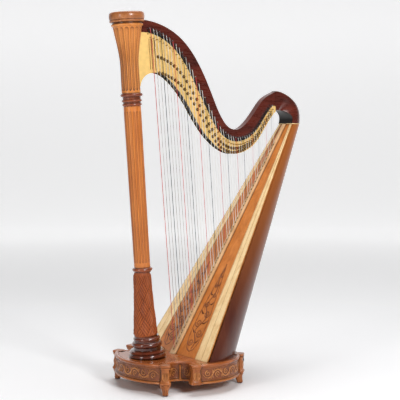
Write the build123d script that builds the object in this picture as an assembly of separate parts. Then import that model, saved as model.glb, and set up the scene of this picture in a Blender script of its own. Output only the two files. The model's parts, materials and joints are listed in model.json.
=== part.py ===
from build123d import *

import os
from math import atan2, cos, degrees, radians, sin, sqrt

# Concert pedal harp, millimetres.
# X runs from the column (-X) to the shoulder (+X), Y runs across the harp with the strings' side
# of the neck at -Y, and Z is up. The origin is on the floor under the middle of the harp.

# ------------------------------------------------------------------ base
FOOT_TOP = 55.0
FLOOR_THICK = 14.0
WALL_THICK = 18.0
BASE_TOP = 150.0
TOP_BOARD = 22.0
TOP_OVERHANG = 8.0
FLOOR_OVERHANG = 5.0
FRONT_X = -520.0
FRONT_CORNER = (-428.0, 228.0)
WAIST = (-322.0, 199.0)
LOBE_CORNER = (-300.0, 306.0)
LOBE_SIDE = (-160.0, 330.0)
REAR_CORNER = (32.0, 196.0)
REAR_X = 78.0
CONSOLE_RADIUS = 15.0
SCROLL_RADIUS = 20.0
FRONT_FOOT_REACH = -4.0                    # how far the pads stand out past the corners
REAR_FOOT_REACH = 14.0
FOOT_HEAD = (56.0, 48.0, 12.0)             # length, width, corner radius
FOOT_PAD = (44.0, 38.0, 14.0)
TOP_EDGE_RADIUS = 5.0
TOP_UNDERSIDE_RADIUS = 4.0
FLOOR_EDGE_RADIUS = 5.0
TOP_GROOVE_INSET = 22.0
TOP_GROOVE_WIDTH = 2.5
TOP_GROOVE_DEPTH = 1.2

# ------------------------------------------------------------------ column
COLUMN_X = -386.0
COLUMN_LEAN = degrees(atan2(116.0, 1685.0))
BORE_RADIUS = 24.5
FLUTES = 16
FLUTE_CUTTER = 6.6
FLUTE_OFFSET = 3.4
FOOT_END = 112.0
PEDESTAL_END = 434.0
SHAFT_END = 1326.0
CAPITAL_END = 1667.0
CAP_END = 1722.0

# ------------------------------------------------------------------ soundbox
BOARD_BOTTOM_X = -238.0
BOARD_BOTTOM_Z = 152.0
BOARD_TOP_X = 488.0
BOARD_TOP_Z = 1329.0
BOARD_HALF_BOTTOM = 284.0
BOARD_HALF_TOP = 55.0
BOARD_SET_BACK = 8.0                       # from the plane under the string rib
BOARD_FALL = 2.0                           # degrees that each half falls back from the middle
BOARD_THICK = 7.0
EDGE_STRIP_SHARE = (0.355, 0.31)            # of the half width, at the base and at the shoulder
EDGE_STRIP_THICK = 1.5
RIB_THICK = 4.0
RIB_HALF_BOTTOM = 20.0
RIB_HALF_TOP = 9.0
SHELL_THICK = 9.0
SHELL_BOTTOM = (-190.0, 270.0, 298.0)      # centre x, half length, half width at the base
SHELL_TOP = (500.0, 84.0, 58.0)            # the same at the shoulder
SHOULDER_Z = 1329.0
SOUND_HOLE_HEIGHTS = (330.0, 520.0, 700.0, 870.0, 1030.0)
SOUND_HOLE_LENGTH = (150.0, 80.0)          # at the base, at the shoulder
SOUND_HOLE_WIDTH = (74.0, 30.0)
BRACE_HEIGHTS = (430.0, 620.0, 950.0)
BRACE_DEPTH = 18.0
BRACE_THICK = 12.0
TRIM_THICK = 3.0

# ------------------------------------------------------------------ neck and action
GLUE_GAP = 0.3
NECK_NEAR_Y = -4.0
NECK_FAR_Y = 34.0
PLATE_THICK = 2.5
NECK_RECESS = 10.0
NECK_END_X = 425.0
HOOK_X = 425.0                             # the point that the shoulder turns round
HOOK_Z = 1362.0
KNEE_FOOT = (71.0, 159.0, 84.0)            # front, back and corner, measured from HOOK_X
KNEE_HALF_WIDTH = 58.0

# ------------------------------------------------------------------ strings
STRINGS = 47
FIRST_STRING = 22.0                        # distance of the longest string up the soundboard
SPACING_BASS = 18.6
SPACING_TREBLE = 13.4
STRING_LEAN = 5.2                          # degrees from vertical, top towards the column
STRING_NECK_Y = -18.0
BRIDGE_BELOW_EDGE = (20.0, 12.0)           # bass, treble
PIN_ABOVE_EDGE = 21.0
SCREW_BELOW_EDGE = 5.5
PLATE_SCREWS = 14
SCREW_RADIUS = 1.85
SCREW_HEAD_RADIUS = 3.6
SCREW_HEAD = 1.2
SEMITONE_STOP = 0.0561                     # share of the string that one semitone shortens it by
TWO_SEMITONE_STOP = 0.1091
WOUND_STRINGS = 12
BASS_RADIUS = 1.6
TREBLE_RADIUS = 0.7
WRAP_ALLOWANCE = 1.2                       # room for the string's slant where it passes its pin
GROMMET_RADIUS = 4.0
GROMMET_HOLE_RADIUS = 2.2
GROMMET_THICK = 1.2
MOVING_OCTAVE = 21                         # string number of the octave whose discs turn
DISC_THICK = 2.5
DISC_STUB_RADIUS = 2.0
DISC_STUB_DEPTH = 4.0                      # how far the stub goes into the neck
PRONG_PLACE = 0.62                         # shares of the disc's radius
PRONG_SIZE = 0.16
DISC_LIMIT = 7.0
DISC_SHARE = 0.4                           # disc radius as a share of the way between its string's discs
BRIDGE_PIN_RADIUS = 1.8
TUNING_PIN_RADIUS = 3.0
PIN_PAST_STRING = 8.0
PIN_COLLAR = 12.0
PIN_FIT = 0.02
PIN_KEY = 4.0
PIN_KEY_LENGTH = 14.0
RUNNING_GAP = 0.05

# ------------------------------------------------------------------ pedals
PEDAL_NAMES = ("d", "c", "b", "e", "f", "g", "a")
PEDAL_SLOT_Y = (-150.0, -107.0, -64.0, 21.0, 64.0, 107.0, 150.0)
ROD_PITCH = 7.0
ROD_RADIUS = 2.5
ROD_TOP = 1560.0
AXLE_X = -290.0
AXLE_Z = 95.0
AXLE_RADIUS = 5.0
AXLE_REACH = 77.0                          # from the harp's plane to each bearing block
HUB_RADIUS = 9.0
HUB_HALF_WIDTH = 3.5
ARM_THICK = 5.0
ARM_DEEP = 10.0
ARM_FRONT_X = -378.0
ARM_FRONT_Z = 88.0
ARM_REAR_Z = 116.0
ARM_PAST_WALL = 14.0
SPRING_X = -120.0
SPRING_RADIUS = 4.0
SPRING_PITCH = 4.0
SPRING_WIRE_RADIUS = 0.6
SLOT_WIDTH = 16.0
SLOT_MARGIN = 3.0                          # wood left above and below each slot
LINER_WIDTH = 5.0
PEDAL_TIP_WIDTH = 20.0
PEDAL_TIP_THICK = 8.0

NOTES = "cdefgab"


# ================================================================== helpers
def between(a, b, share):
    """The value a given share of the way from a to b."""
    return a + (b - a) * share


def side_face(edges):
    """A face in the harp's own plane, from edges whose points are (x, z)."""
    return make_face(edges)


def slab(face, near_y, far_y):
    """A flat part cut to a side outline, from near_y to far_y."""
    return extrude(Plane.XZ.offset(-far_y) * face, amount=far_y - near_y)


def round_bar(start, end, radius):
    """A straight round bar between two points."""
    start = Vector(*start)
    end = Vector(*end)
    along = end - start
    base = Plane(origin=start, z_dir=along)
    return base * Cylinder(radius, along.length, align=(Align.CENTER, Align.CENTER, Align.MIN))


def cross_bar(x, z, near_y, far_y, radius):
    """A round bar along Y."""
    return round_bar((x, near_y, z), (x, far_y, z), radius)


def save(name, *shapes):
    """Write one named sub-part, from one solid or from a group of separate solids."""
    solids = [solid for shape in shapes for solid in shape.solids()]
    whole = solids[0] if len(solids) == 1 else Compound(children=solids)
    whole.label = name
    export_step(whole, f"parts/{name}.step")


# ================================================================== base
def base_outline():
    """Plan of the base: bowed front, scooped waist, wide rear lobe and a slightly bowed back."""
    def mirrored(point):
        return (point[0], -point[1])

    edges = [ThreePointArc(mirrored(FRONT_CORNER), (FRONT_X, 0), FRONT_CORNER)]
    edges += [ThreePointArc(FRONT_CORNER, WAIST, LOBE_CORNER)]
    edges += [ThreePointArc(LOBE_CORNER, LOBE_SIDE, REAR_CORNER)]
    edges += [ThreePointArc(REAR_CORNER, (REAR_X, 0), mirrored(REAR_CORNER))]
    edges += [ThreePointArc(mirrored(REAR_CORNER), mirrored(LOBE_SIDE), mirrored(LOBE_CORNER))]
    edges += [ThreePointArc(mirrored(LOBE_CORNER), mirrored(WAIST), mirrored(FRONT_CORNER))]
    return make_face(edges)


def outline_ring(outside, inside):
    """The strip of the base plan between two offsets of its outline."""
    return offset(base_outline(), outside) - offset(base_outline(), inside)


def rod_passage(bottom, top):
    """The leaning round passage that the pedal rods use between two heights."""
    start = column_point(bottom)
    end = column_point(top)
    return round_bar(start, end, BORE_RADIUS)


def base_top():
    board = Pos(0, 0, BASE_TOP - TOP_BOARD) * extrude(offset(base_outline(), TOP_OVERHANG), TOP_BOARD)
    board = fillet(board.edges().group_by(Axis.Z)[-1], TOP_EDGE_RADIUS)
    board = fillet(board.edges().group_by(Axis.Z)[0], TOP_UNDERSIDE_RADIUS)
    groove = outline_ring(TOP_OVERHANG - TOP_GROOVE_INSET,
                          TOP_OVERHANG - TOP_GROOVE_INSET - TOP_GROOVE_WIDTH)
    board -= Pos(0, 0, BASE_TOP - TOP_GROOVE_DEPTH) * extrude(groove, TOP_GROOVE_DEPTH)
    return board - rod_passage(-60, 20)


def base_case():
    height = BASE_TOP - TOP_BOARD - FOOT_TOP - FLOOR_THICK
    walls = Pos(0, 0, FOOT_TOP + FLOOR_THICK) * extrude(outline_ring(0, -WALL_THICK), height)
    return walls - [slot_block(number, SLOT_WIDTH, height - 2 * SLOT_MARGIN) for number in range(7)]


def back_wall_x(y):
    """Where the outside of the bowed back wall is, at a distance from the harp's plane."""
    chord = REAR_X - REAR_CORNER[0]
    radius = (chord ** 2 + REAR_CORNER[1] ** 2) / (2 * chord)
    return REAR_X - radius + sqrt(radius ** 2 - y ** 2)


def slot_block(number, width, height):
    """A block through the back wall of the case, in line with one pedal arm."""
    rear_x = arm_rear_x(number)
    slope = (PEDAL_SLOT_Y[number] - rod_y(number)) / (rear_x - ARM_FRONT_X)
    middle = (BASE_TOP - TOP_BOARD + FOOT_TOP + FLOOR_THICK) / 2
    turn = Rot(0, 0, degrees(atan2(slope, 1)))
    return Pos(rear_x - 30, arm_y(number, rear_x - 30), middle) * turn * Box(100, width, height)


def base_floor():
    board = Pos(0, 0, FOOT_TOP) * extrude(offset(base_outline(), FLOOR_OVERHANG), FLOOR_THICK)
    return fillet(board.edges().group_by(Axis.Z)[0], FLOOR_EDGE_RADIUS)


def base_consoles():
    """Upright scrolled brackets that cover the six corners of the case."""
    height = BASE_TOP - TOP_BOARD - FOOT_TOP - FLOOR_THICK
    solid_case = Pos(0, 0, FOOT_TOP + FLOOR_THICK) * extrude(base_outline(), height)
    consoles = []
    for x, y in (FRONT_CORNER, LOBE_CORNER, REAR_CORNER):
        for side in (-1, 1):
            low = Pos(x, side * y, FOOT_TOP + FLOOR_THICK)
            post = low * Cylinder(CONSOLE_RADIUS, height, align=(Align.CENTER, Align.CENTER, Align.MIN))
            scroll = low * Pos(0, 0, height - SCROLL_RADIUS) * Sphere(SCROLL_RADIUS)
            consoles.append(largest(post + scroll - solid_case))
    return consoles


def base_feet():
    """Four splayed feet, wider where they meet the floor board."""
    feet = []
    for corner, reach in ((FRONT_CORNER, FRONT_FOOT_REACH), (REAR_CORNER, REAR_FOOT_REACH)):
        for side in (-1, 1):
            head = Pos(corner[0], side * (corner[1] - 10), FOOT_TOP) * RectangleRounded(*FOOT_HEAD)
            pad = Pos(corner[0] + reach, side * corner[1]) * RectangleRounded(*FOOT_PAD)
            feet.append(loft([pad, head]))
    return feet


# ================================================================== column
def column_place():
    """Moves a part turned about Z at the origin onto the leaning column."""
    return Pos(COLUMN_X, 0, BASE_TOP) * Rot(0, -COLUMN_LEAN, 0)


def column_point(height, y=0.0):
    """A point on the column's axis, a distance above the base measured along the axis."""
    lean = radians(COLUMN_LEAN)
    return (COLUMN_X - height * sin(lean), y, BASE_TOP + height * cos(lean))


def turned(points):
    """A solid of revolution from (radius, height) points, closed on the axis."""
    bottom = points[0][1]
    top = points[-1][1]
    outline = Polyline((0, bottom), *points, (0, top), close=True)
    return revolve(Plane.XZ * make_face(outline), Axis.Z)


def turned_curve(points):
    """The same, with one smooth curve through the points that starts and ends upright."""
    curve = Spline(*points, tangents=((0, 1), (0, 1)))
    closing = Polyline(points[-1], (0, points[-1][1]), (0, points[0][1]), points[0])
    return revolve(Plane.XZ * make_face([curve, closing]), Axis.Z)


def bead(height, radius, half_height, core):
    """A round moulding on a turned part."""
    arc = ThreePointArc((core, height - half_height), (radius, height), (core, height + half_height))
    closing = Polyline((core, height + half_height), (0, height + half_height),
                       (0, height - half_height), (core, height - half_height))
    return revolve(Plane.XZ * make_face([arc, closing]), Axis.Z)


def bore(bottom, top):
    return Pos(0, 0, bottom) * Cylinder(BORE_RADIUS, top - bottom,
                                        align=(Align.CENTER, Align.CENTER, Align.MIN))


def column_foot():
    foot = turned([(70, -20), (70, 45), (62, 112)])
    foot += bead(12, 93.4, 18, 78)
    foot += turned([(80, 20), (88, 27), (90.6, 33), (86, 40), (74, 44)])
    foot += bead(69, 76.9, 14, 66)
    foot += bead(97, 67.5, 10, 60)
    foot -= bore(-60, FOOT_END)
    foot = column_place() * foot
    return foot & Pos(COLUMN_X, 0, BASE_TOP) * Box(
        400, 400, 400, align=(Align.CENTER, Align.CENTER, Align.MIN))


def column_pedestal():
    body = turned_curve([(59.7, FOOT_END), (54.1, 189), (47.2, 292), (41.8, PEDESTAL_END)])
    return column_place() * (body - bore(FOOT_END, PEDESTAL_END))


def column_shaft():
    """The long fluted shaft with its rings above and below the flutes."""
    lower = 40.3
    upper = 43.3
    shaft = turned([(41.8, PEDESTAL_END), (lower, 475), (upper, 1244), (43.1, 1253), (46, SHAFT_END)])
    for height, radius, half in ((448, 50.8, 9), (1270, 49.3, 6), (1289, 51, 6.5), (1317, 55.4, 8.5)):
        shaft += bead(height, radius, half, radius - half)
    for number in range(FLUTES):
        turn = Rot(0, 0, number * 360 / FLUTES)
        low = (lower + FLUTE_OFFSET, 0, 488)
        high = (upper + FLUTE_OFFSET, 0, 1232)
        cutter = round_bar(low, high, FLUTE_CUTTER) + Pos(low) * Sphere(FLUTE_CUTTER)
        cutter += Pos(high) * Sphere(FLUTE_CUTTER)
        shaft -= turn * cutter
    return column_place() * (shaft - bore(PEDESTAL_END, SHAFT_END))


def capital_form(extra):
    """The flared form of the capital, with extra added to its radius."""
    flare = [(46.8, SHAFT_END), (46.7, 1366), (45.5, 1439), (46.7, 1488), (53.3, 1538),
             (62.5, 1586), (66.6, 1615), (74, 1648), (74, CAPITAL_END)]
    return turned_curve([(radius + extra, height) for radius, height in flare])


def column_capital():
    return column_place() * (capital_form(0) - bore(SHAFT_END, ROD_TOP + 30))


def capital_cap():
    cap = turned([(84.4, CAPITAL_END), (88.6, 1676), (88.6, 1708), (86, 1717), (78, CAP_END)])
    return column_place() * cap


# ================================================================== soundbox
def board_x(z):
    """Where the front face of the soundboard is, at a height."""
    share = (z - BOARD_BOTTOM_Z) / (BOARD_TOP_Z - BOARD_BOTTOM_Z)
    return between(BOARD_BOTTOM_X, BOARD_TOP_X, share)


def board_directions():
    """Unit vectors up the board and out of its front."""
    up = Vector(BOARD_TOP_X - BOARD_BOTTOM_X, 0, BOARD_TOP_Z - BOARD_BOTTOM_Z).normalized()
    return up, Vector(0, -1, 0).cross(up)


def rib_plane():
    """Plane under the string rib: local x is across the harp, local y is up the board."""
    up, front = board_directions()
    return Plane(origin=(BOARD_BOTTOM_X, 0, BOARD_BOTTOM_Z), x_dir=(0, -1, 0), z_dir=front)


def board_plane():
    """Plane of the near half of the soundboard's front face, which falls back from the middle."""
    up, front = board_directions()
    fall = radians(BOARD_FALL)
    across = Vector(0, -1, 0) * cos(fall) - front * sin(fall)
    origin = Vector(BOARD_BOTTOM_X, 0, BOARD_BOTTOM_Z) - front * BOARD_SET_BACK
    return Plane(origin=origin, x_dir=across, z_dir=across.cross(up))


def board_length():
    return sqrt((BOARD_TOP_X - BOARD_BOTTOM_X) ** 2 + (BOARD_TOP_Z - BOARD_BOTTOM_Z) ** 2)


def tapered(inner_bottom, outer_bottom, inner_top, outer_top, low, high):
    """A tapered panel outline on the soundboard between two widths, on its local +x side."""
    length = board_length()

    def width(bottom, top, v):
        return between(bottom, top, v / length)

    return Polyline((width(inner_bottom, inner_top, low), low),
                    (width(outer_bottom, outer_top, low), low),
                    (width(outer_bottom, outer_top, high), high),
                    (width(inner_bottom, inner_top, high), high), close=True)


def between_base_and_shoulder(shape):
    """Trims a soundbox part level with the top of the base and the underside of the shoulder."""
    height = SHOULDER_Z - BASE_TOP
    return shape & Pos(0, 0, BASE_TOP) * Box(3000, 3000, height,
                                             align=(Align.CENTER, Align.CENTER, Align.MIN))


def on_board(outline, thickness):
    """A panel on the near half of the board, thickness towards the strings."""
    return between_base_and_shoulder(extrude(board_plane() * make_face(outline), thickness))


def soundboard():
    outline = tapered(0, BOARD_HALF_BOTTOM, 0, BOARD_HALF_TOP, -40, board_length() + 40)
    half = on_board(outline, -BOARD_THICK)
    return half + mirror(half, Plane.XZ)


def edge_strips():
    low_share, high_share = EDGE_STRIP_SHARE
    outline = tapered(BOARD_HALF_BOTTOM * (1 - low_share), BOARD_HALF_BOTTOM,
                      BOARD_HALF_TOP * (1 - high_share), BOARD_HALF_TOP, -40, board_length() + 40)
    strip = on_board(outline, EDGE_STRIP_THICK)
    return [strip, mirror(strip, Plane.XZ)]


def string_rib():
    """The bar that the strings pull on, raised from the middle of the board."""
    half = make_face(tapered(0, RIB_HALF_BOTTOM, 0, RIB_HALF_TOP, -40, board_length() + 40))
    deep = extrude(rib_plane() * half, RIB_THICK) + extrude(rib_plane() * half, -2 * BOARD_SET_BACK)
    rib = between_base_and_shoulder(deep + mirror(deep, Plane.XZ))
    return largest(rib - soundboard() - behind_board())


def shell_form(inset, bottom=BASE_TOP, top=SHOULDER_Z):
    """The solid inside the rounded soundbox form, inset by a distance."""
    def section(z):
        share = (z - BASE_TOP) / (SHOULDER_Z - BASE_TOP)
        centre, half_length, half_width = [between(a, b, share) for a, b in zip(SHELL_BOTTOM, SHELL_TOP)]
        return Pos(centre, 0, z) * Ellipse(half_length - inset, half_width - inset)
    return loft([section(bottom), section(top)], ruled=True)


def behind_board(gap=0.0):
    """All the space behind the soundboard."""
    size = 3000
    block = Box(size, size, size, align=(Align.CENTER, Align.CENTER, Align.MAX))
    near = board_plane() * Pos(0, 0, -BOARD_THICK - gap) * block
    return near & mirror(near, Plane.XZ)


def soundbox_shell():
    shell = (shell_form(0) - shell_form(SHELL_THICK)) & behind_board()
    for z in SOUND_HOLE_HEIGHTS:
        share = (z - BASE_TOP) / (SHOULDER_Z - BASE_TOP)
        length = between(*SOUND_HOLE_LENGTH, share)
        hole = SlotOverall(length, between(*SOUND_HOLE_WIDTH, share), rotation=90)
        shell -= extrude(Plane.YZ.offset(board_x(z) + 40) * Pos(0, z) * hole, 500)
    return shell


def soundbox_braces():
    braces = []
    for z in BRACE_HEIGHTS:
        outer = shell_form(SHELL_THICK + RUNNING_GAP, z, z + BRACE_THICK)
        inner = shell_form(SHELL_THICK + BRACE_DEPTH, z, z + BRACE_THICK)
        braces.append((outer - inner) & behind_board(RUNNING_GAP))
    return braces


# ================================================================== neck
def plate_top_edge():
    """Upper edge of the action plates, from the column to the shoulder."""
    return Spline((-420, 1775), (-331, 1761), (-224, 1697), (-102, 1529), (-8, 1367), (55, 1281),
                  (130, 1238), (205, 1240), (285, 1285), (352, 1368), (404, 1424))


def plate_low_edge():
    """Lower edge of the action plates, from the shoulder to the column."""
    return Spline((428, 1398), (353, 1309), (285, 1224), (200, 1177), (115, 1172), (24, 1217),
                  (-71, 1312), (-163, 1446), (-236, 1527), (-325, 1577), (-382, 1570), (-428, 1508))


def plate_face():
    top = plate_top_edge()
    low = plate_low_edge()
    end = ThreePointArc(top @ 1, (427, 1420), low @ 0)
    column_side = Polyline(low @ 1, (-470, 1508), (-470, 1775), top @ 0)
    return side_face([top, end, low, column_side])


def column_space():
    """The space that the capital and its cap take from the parts of the neck, with a glue gap."""
    cap = turned([(84.4 + GLUE_GAP, CAPITAL_END - GLUE_GAP), (88.6 + GLUE_GAP, 1676),
                  (88.6 + GLUE_GAP, CAP_END + GLUE_GAP)])
    return [column_place() * capital_form(GLUE_GAP), column_place() * cap]


def beyond_neck():
    """The space past the end of the neck, which the shoulder fills."""
    return Pos(NECK_END_X, 0, SHOULDER_Z) * Box(400, 400, 400, align=(Align.MIN, Align.CENTER, Align.MIN))


def neck_top_edge():
    return Spline((-404, 1836), (-312, 1820), (-192, 1761), (-69, 1619), (19, 1450), (76, 1347),
                  (122, 1305), (170, 1298), (220, 1324), (293, 1402), (353, 1467), (400, 1492),
                  (NECK_END_X, 1503))


def neck():
    top = neck_top_edge()
    low = Pos(0, NECK_RECESS) * plate_low_edge()
    shoulder = Polyline(top @ 1, (NECK_END_X, 1404), low @ 0)
    column_side = Polyline(low @ 1, (-470, 1518), (-470, 1836), top @ 0)
    wood = slab(side_face([top, shoulder, low, column_side]), NECK_NEAR_Y, NECK_FAR_Y)
    wood = largest(wood - column_space())
    return wood - tuning_pin_holes() - disc_axle_holes()


def largest(shape):
    return shape.solids().sort_by(SortBy.VOLUME)[-1]


def left_action_plate():
    plate = slab(plate_face(), NECK_NEAR_Y - PLATE_THICK, NECK_NEAR_Y) - column_space()
    return largest(plate - beyond_neck()) - disc_axle_holes() - screw_holes()


def right_action_plate():
    plate = slab(plate_face(), NECK_FAR_Y, NECK_FAR_Y + PLATE_THICK) - column_space()
    return largest(plate - beyond_neck()) - screw_holes()


def knee_section(plane, inner, outer, near_y, far_y, corner_out, corner_across):
    """One section of the shoulder. Local x runs outwards and local y across the harp."""
    start = outer - corner_out
    near = EllipticalCenterArc((start, near_y + corner_across), corner_out, corner_across, -90, arc_size=90)
    far = EllipticalCenterArc((start, far_y - corner_across), corner_out, corner_across, 0, arc_size=90)
    outline = [Line((inner, near_y), (start, near_y)), near, Line(near @ 1, far @ 0), far,
               Line((start, far_y), (inner, far_y)), Line((inner, far_y), (inner, near_y))]
    return plane * make_face(outline)


def knee_foot_section(z, extra=0.0):
    """The level section of the shoulder where it stands on the soundbox."""
    plane = Plane(origin=(HOOK_X, 0, z), x_dir=(1, 0, 0), z_dir=(0, 0, 1))
    half = KNEE_HALF_WIDTH + extra
    front, back, corner = KNEE_FOOT
    return knee_section(plane, front - extra, back + extra, -half, half, corner, half - 0.5)


def knee_block():
    """The shoulder: it turns round the hook from the flat neck to the round back of the soundbox."""
    sections = []
    for angle, inner, outer, near_y, far_y, corner_out, corner_across in (
            (96, 40, 141, NECK_NEAR_Y, NECK_FAR_Y, 5, 5), (75, 43.3, 146, NECK_NEAR_Y, NECK_FAR_Y, 8, 8),
            (50, 51.7, 152, -14, 40, 26, 16), (25, 63.8, 160, -40, 50, 56, 38), (0, 75.4, 160, -57, 57, 80, 55)):
        outward = (cos(radians(angle)), 0, sin(radians(angle)))
        turning = Vector(*outward).cross(Vector(0, 1, 0))
        plane = Plane(origin=(HOOK_X, 0, HOOK_Z), x_dir=outward, z_dir=turning)
        sections.append(knee_section(plane, inner, outer, near_y, far_y, corner_out, corner_across))
    sections.append(knee_foot_section(SHOULDER_Z + TRIM_THICK))
    return loft(sections) & beyond_neck()


def shoulder_trim():
    """The thin pale band between the shoulder and the soundbox."""
    return extrude(knee_foot_section(SHOULDER_Z, 1.0), TRIM_THICK)


# ================================================================== strings
class StringLine:
    """One string: where it leaves the board, its bridge pin, its two discs and its tuning pin."""

    def __init__(self, number, distance, edge):
        self.number = number
        self.note = NOTES[number % 7]
        share = number / (STRINGS - 1)
        lean = radians(STRING_LEAN)
        self.direction = (-sin(lean), cos(lean))
        along = Vector(BOARD_TOP_X - BOARD_BOTTOM_X, BOARD_TOP_Z - BOARD_BOTTOM_Z).normalized()
        self.foot = (BOARD_BOTTOM_X + distance * along.X, BOARD_BOTTOM_Z + distance * along.Y)
        reach = self.reach_to(edge) - between(*BRIDGE_BELOW_EDGE, share)
        self.length = reach
        self.bridge = self.at(reach)
        self.natural = self.at(reach * (1 - SEMITONE_STOP))
        self.sharp = self.at(reach * (1 - TWO_SEMITONE_STOP))
        self.radius = between(BASS_RADIUS, TREBLE_RADIUS, share)
        self.disc_radius = min(DISC_LIMIT, DISC_SHARE * reach * (TWO_SEMITONE_STOP - SEMITONE_STOP))
        pin_x = self.bridge[0] - 14
        self.pin = (pin_x, height_on(edge, pin_x) + PIN_ABOVE_EDGE)
        beside = (TUNING_PIN_RADIUS + self.radius + RUNNING_GAP) * WRAP_ALLOWANCE
        self.wrap = (self.pin[0] + beside, self.pin[1])

    def at(self, reach):
        return (self.foot[0] + reach * self.direction[0], self.foot[1] + reach * self.direction[1])

    def y_at(self, reach):
        return STRING_NECK_Y * reach / self.length

    def reach_to(self, edge):
        """Distance from the soundboard to where the string's line crosses a curve of the neck."""
        left = 0.0
        right = 1.0
        for _ in range(30):
            middle = (left + right) / 2
            point = edge @ middle
            over = point.X - self.foot[0]
            side = self.direction[1] * over - self.direction[0] * (point.Y - self.foot[1])
            if side < 0:
                left = middle
            else:
                right = middle
        point = edge @ left
        return (point.Y - self.foot[1]) / self.direction[1]

    def has_discs(self):
        return 1 < self.number < STRINGS - 1

    def is_moving(self):
        return MOVING_OCTAVE <= self.number < MOVING_OCTAVE + 7


def height_on(edge, x):
    """Height of a left-to-right curve at x."""
    left = 0.0
    right = 1.0
    for _ in range(30):
        middle = (left + right) / 2
        if (edge @ middle).X < x:
            left = middle
        else:
            right = middle
    return (edge @ left).Y


def make_string_lines():
    edge = plate_top_edge()
    board_angle = atan2(BOARD_TOP_X - BOARD_BOTTOM_X, BOARD_TOP_Z - BOARD_BOTTOM_Z)
    crossing = sin(board_angle + radians(STRING_LEAN))
    lines = []
    distance = FIRST_STRING
    for number in range(STRINGS):
        lines.append(StringLine(number, distance, edge))
        distance += between(SPACING_BASS, SPACING_TREBLE, number / (STRINGS - 2)) / crossing
    return lines


LINES = make_string_lines()


def string_solid(line):
    """The speaking length, and the short run from the bridge pin to the tuning pin."""
    start = line.at(RIB_THICK + 6)
    low = (start[0], line.y_at(RIB_THICK + 6), start[1])
    high = (line.bridge[0], STRING_NECK_Y, line.bridge[1])
    path = Polyline(low, high, (line.wrap[0], STRING_NECK_Y, line.wrap[1]))
    section = Plane(origin=low, z_dir=path % 0) * Circle(line.radius)
    return sweep(section, path=path, transition=Transition.RIGHT)


def strings(choose):
    return [string_solid(line) for line in LINES if choose(line)]


def bridge_pins():
    """The pins that the strings bend over, each inside its string's bend."""
    pins = []
    for line in LINES:
        before = Vector(*line.direction)
        after = Vector(line.wrap[0] - line.bridge[0], line.wrap[1] - line.bridge[1]).normalized()
        inward = (after - before).normalized()
        gap = BRIDGE_PIN_RADIUS + line.radius + RUNNING_GAP
        place = Vector(*line.bridge) + inward * (2 * gap / (before + after).length)
        pins.append(cross_bar(place.X, place.Y, STRING_NECK_Y - 4,
                              NECK_NEAR_Y - PLATE_THICK, BRIDGE_PIN_RADIUS))
    return pins


def tuning_pins():
    """Pins through the neck: the string end is near, the square key end is far."""
    pins = []
    for line in LINES:
        x, z = line.pin
        collar_y = NECK_FAR_Y + PIN_COLLAR
        key = Pos(x, collar_y, z) * Box(PIN_KEY, PIN_KEY_LENGTH, PIN_KEY,
                                        align=(Align.CENTER, Align.MIN, Align.CENTER))
        pins.append(cross_bar(x, z, STRING_NECK_Y - PIN_PAST_STRING, collar_y, TUNING_PIN_RADIUS) + key)
    return pins


def tuning_pin_holes():
    return [cross_bar(line.pin[0], line.pin[1], NECK_NEAR_Y - 5, NECK_FAR_Y + 5, TUNING_PIN_RADIUS + PIN_FIT)
            for line in LINES]


def disc(centre, radius, gap):
    """A disc with two prongs that stand on each side of its string, and its axle stub."""
    x, z = centre
    face = NECK_NEAR_Y - PLATE_THICK - gap
    plate = cross_bar(x, z, face - DISC_THICK, face, radius)
    stub = cross_bar(x, z, face, NECK_NEAR_Y + DISC_STUB_DEPTH, DISC_STUB_RADIUS)
    offset_x = PRONG_PLACE * radius * cos(radians(STRING_LEAN))
    offset_z = PRONG_PLACE * radius * sin(radians(STRING_LEAN))
    prongs = [cross_bar(x + side * offset_x, z + side * offset_z, STRING_NECK_Y - 3,
                        face - DISC_THICK, PRONG_SIZE * radius) for side in (-1, 1)]
    return plate + stub + prongs


def disc_axle_holes():
    holes = []
    for line in LINES:
        if line.has_discs():
            for x, z in (line.natural, line.sharp):
                holes.append(cross_bar(x, z, NECK_NEAR_Y - 5, NECK_NEAR_Y + DISC_STUB_DEPTH + 0.5,
                                       DISC_STUB_RADIUS + RUNNING_GAP))
    return holes


def fixed_discs():
    return [disc(centre, line.disc_radius, 0) for line in LINES
            if line.has_discs() and not line.is_moving() for centre in (line.natural, line.sharp)]


def string_grommets():
    """A small eyelet on the rib under each string."""
    plane = rib_plane()
    rings = []
    along = Vector(BOARD_TOP_X - BOARD_BOTTOM_X, BOARD_TOP_Z - BOARD_BOTTOM_Z)
    for line in LINES:
        distance = (line.foot[1] - BOARD_BOTTOM_Z) / along.Y * along.length
        ring = extrude(Circle(GROMMET_RADIUS) - Circle(GROMMET_HOLE_RADIUS), GROMMET_THICK)
        rings.append(plane * Pos(0, distance, RIB_THICK) * ring)
    return rings


def screw_places():
    """Plate screws: a row under the upper edge of the plates."""
    edge = plate_top_edge()
    places = []
    for number in range(PLATE_SCREWS):
        point = edge @ between(0.03, 0.97, number / (PLATE_SCREWS - 1))
        places.append((point.X, point.Y - SCREW_BELOW_EDGE))
    return places


def screw_holes():
    radius = SCREW_RADIUS + RUNNING_GAP
    return [cross_bar(x, z, NECK_NEAR_Y - 5, NECK_FAR_Y + 5, radius) for x, z in screw_places()]


def plate_screws():
    screws = []
    for x, z in screw_places():
        near = NECK_NEAR_Y - PLATE_THICK
        far = NECK_FAR_Y + PLATE_THICK
        near_head = cross_bar(x, z, near - SCREW_HEAD, near, SCREW_HEAD_RADIUS)
        far_head = cross_bar(x, z, far, far + SCREW_HEAD, SCREW_HEAD_RADIUS)
        screws.append(near_head + cross_bar(x, z, near, NECK_NEAR_Y, SCREW_RADIUS))
        screws.append(far_head + cross_bar(x, z, NECK_FAR_Y, far, SCREW_RADIUS))
    return screws


# ================================================================== pedals
def rod_y(number):
    return (number - 3) * ROD_PITCH


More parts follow.
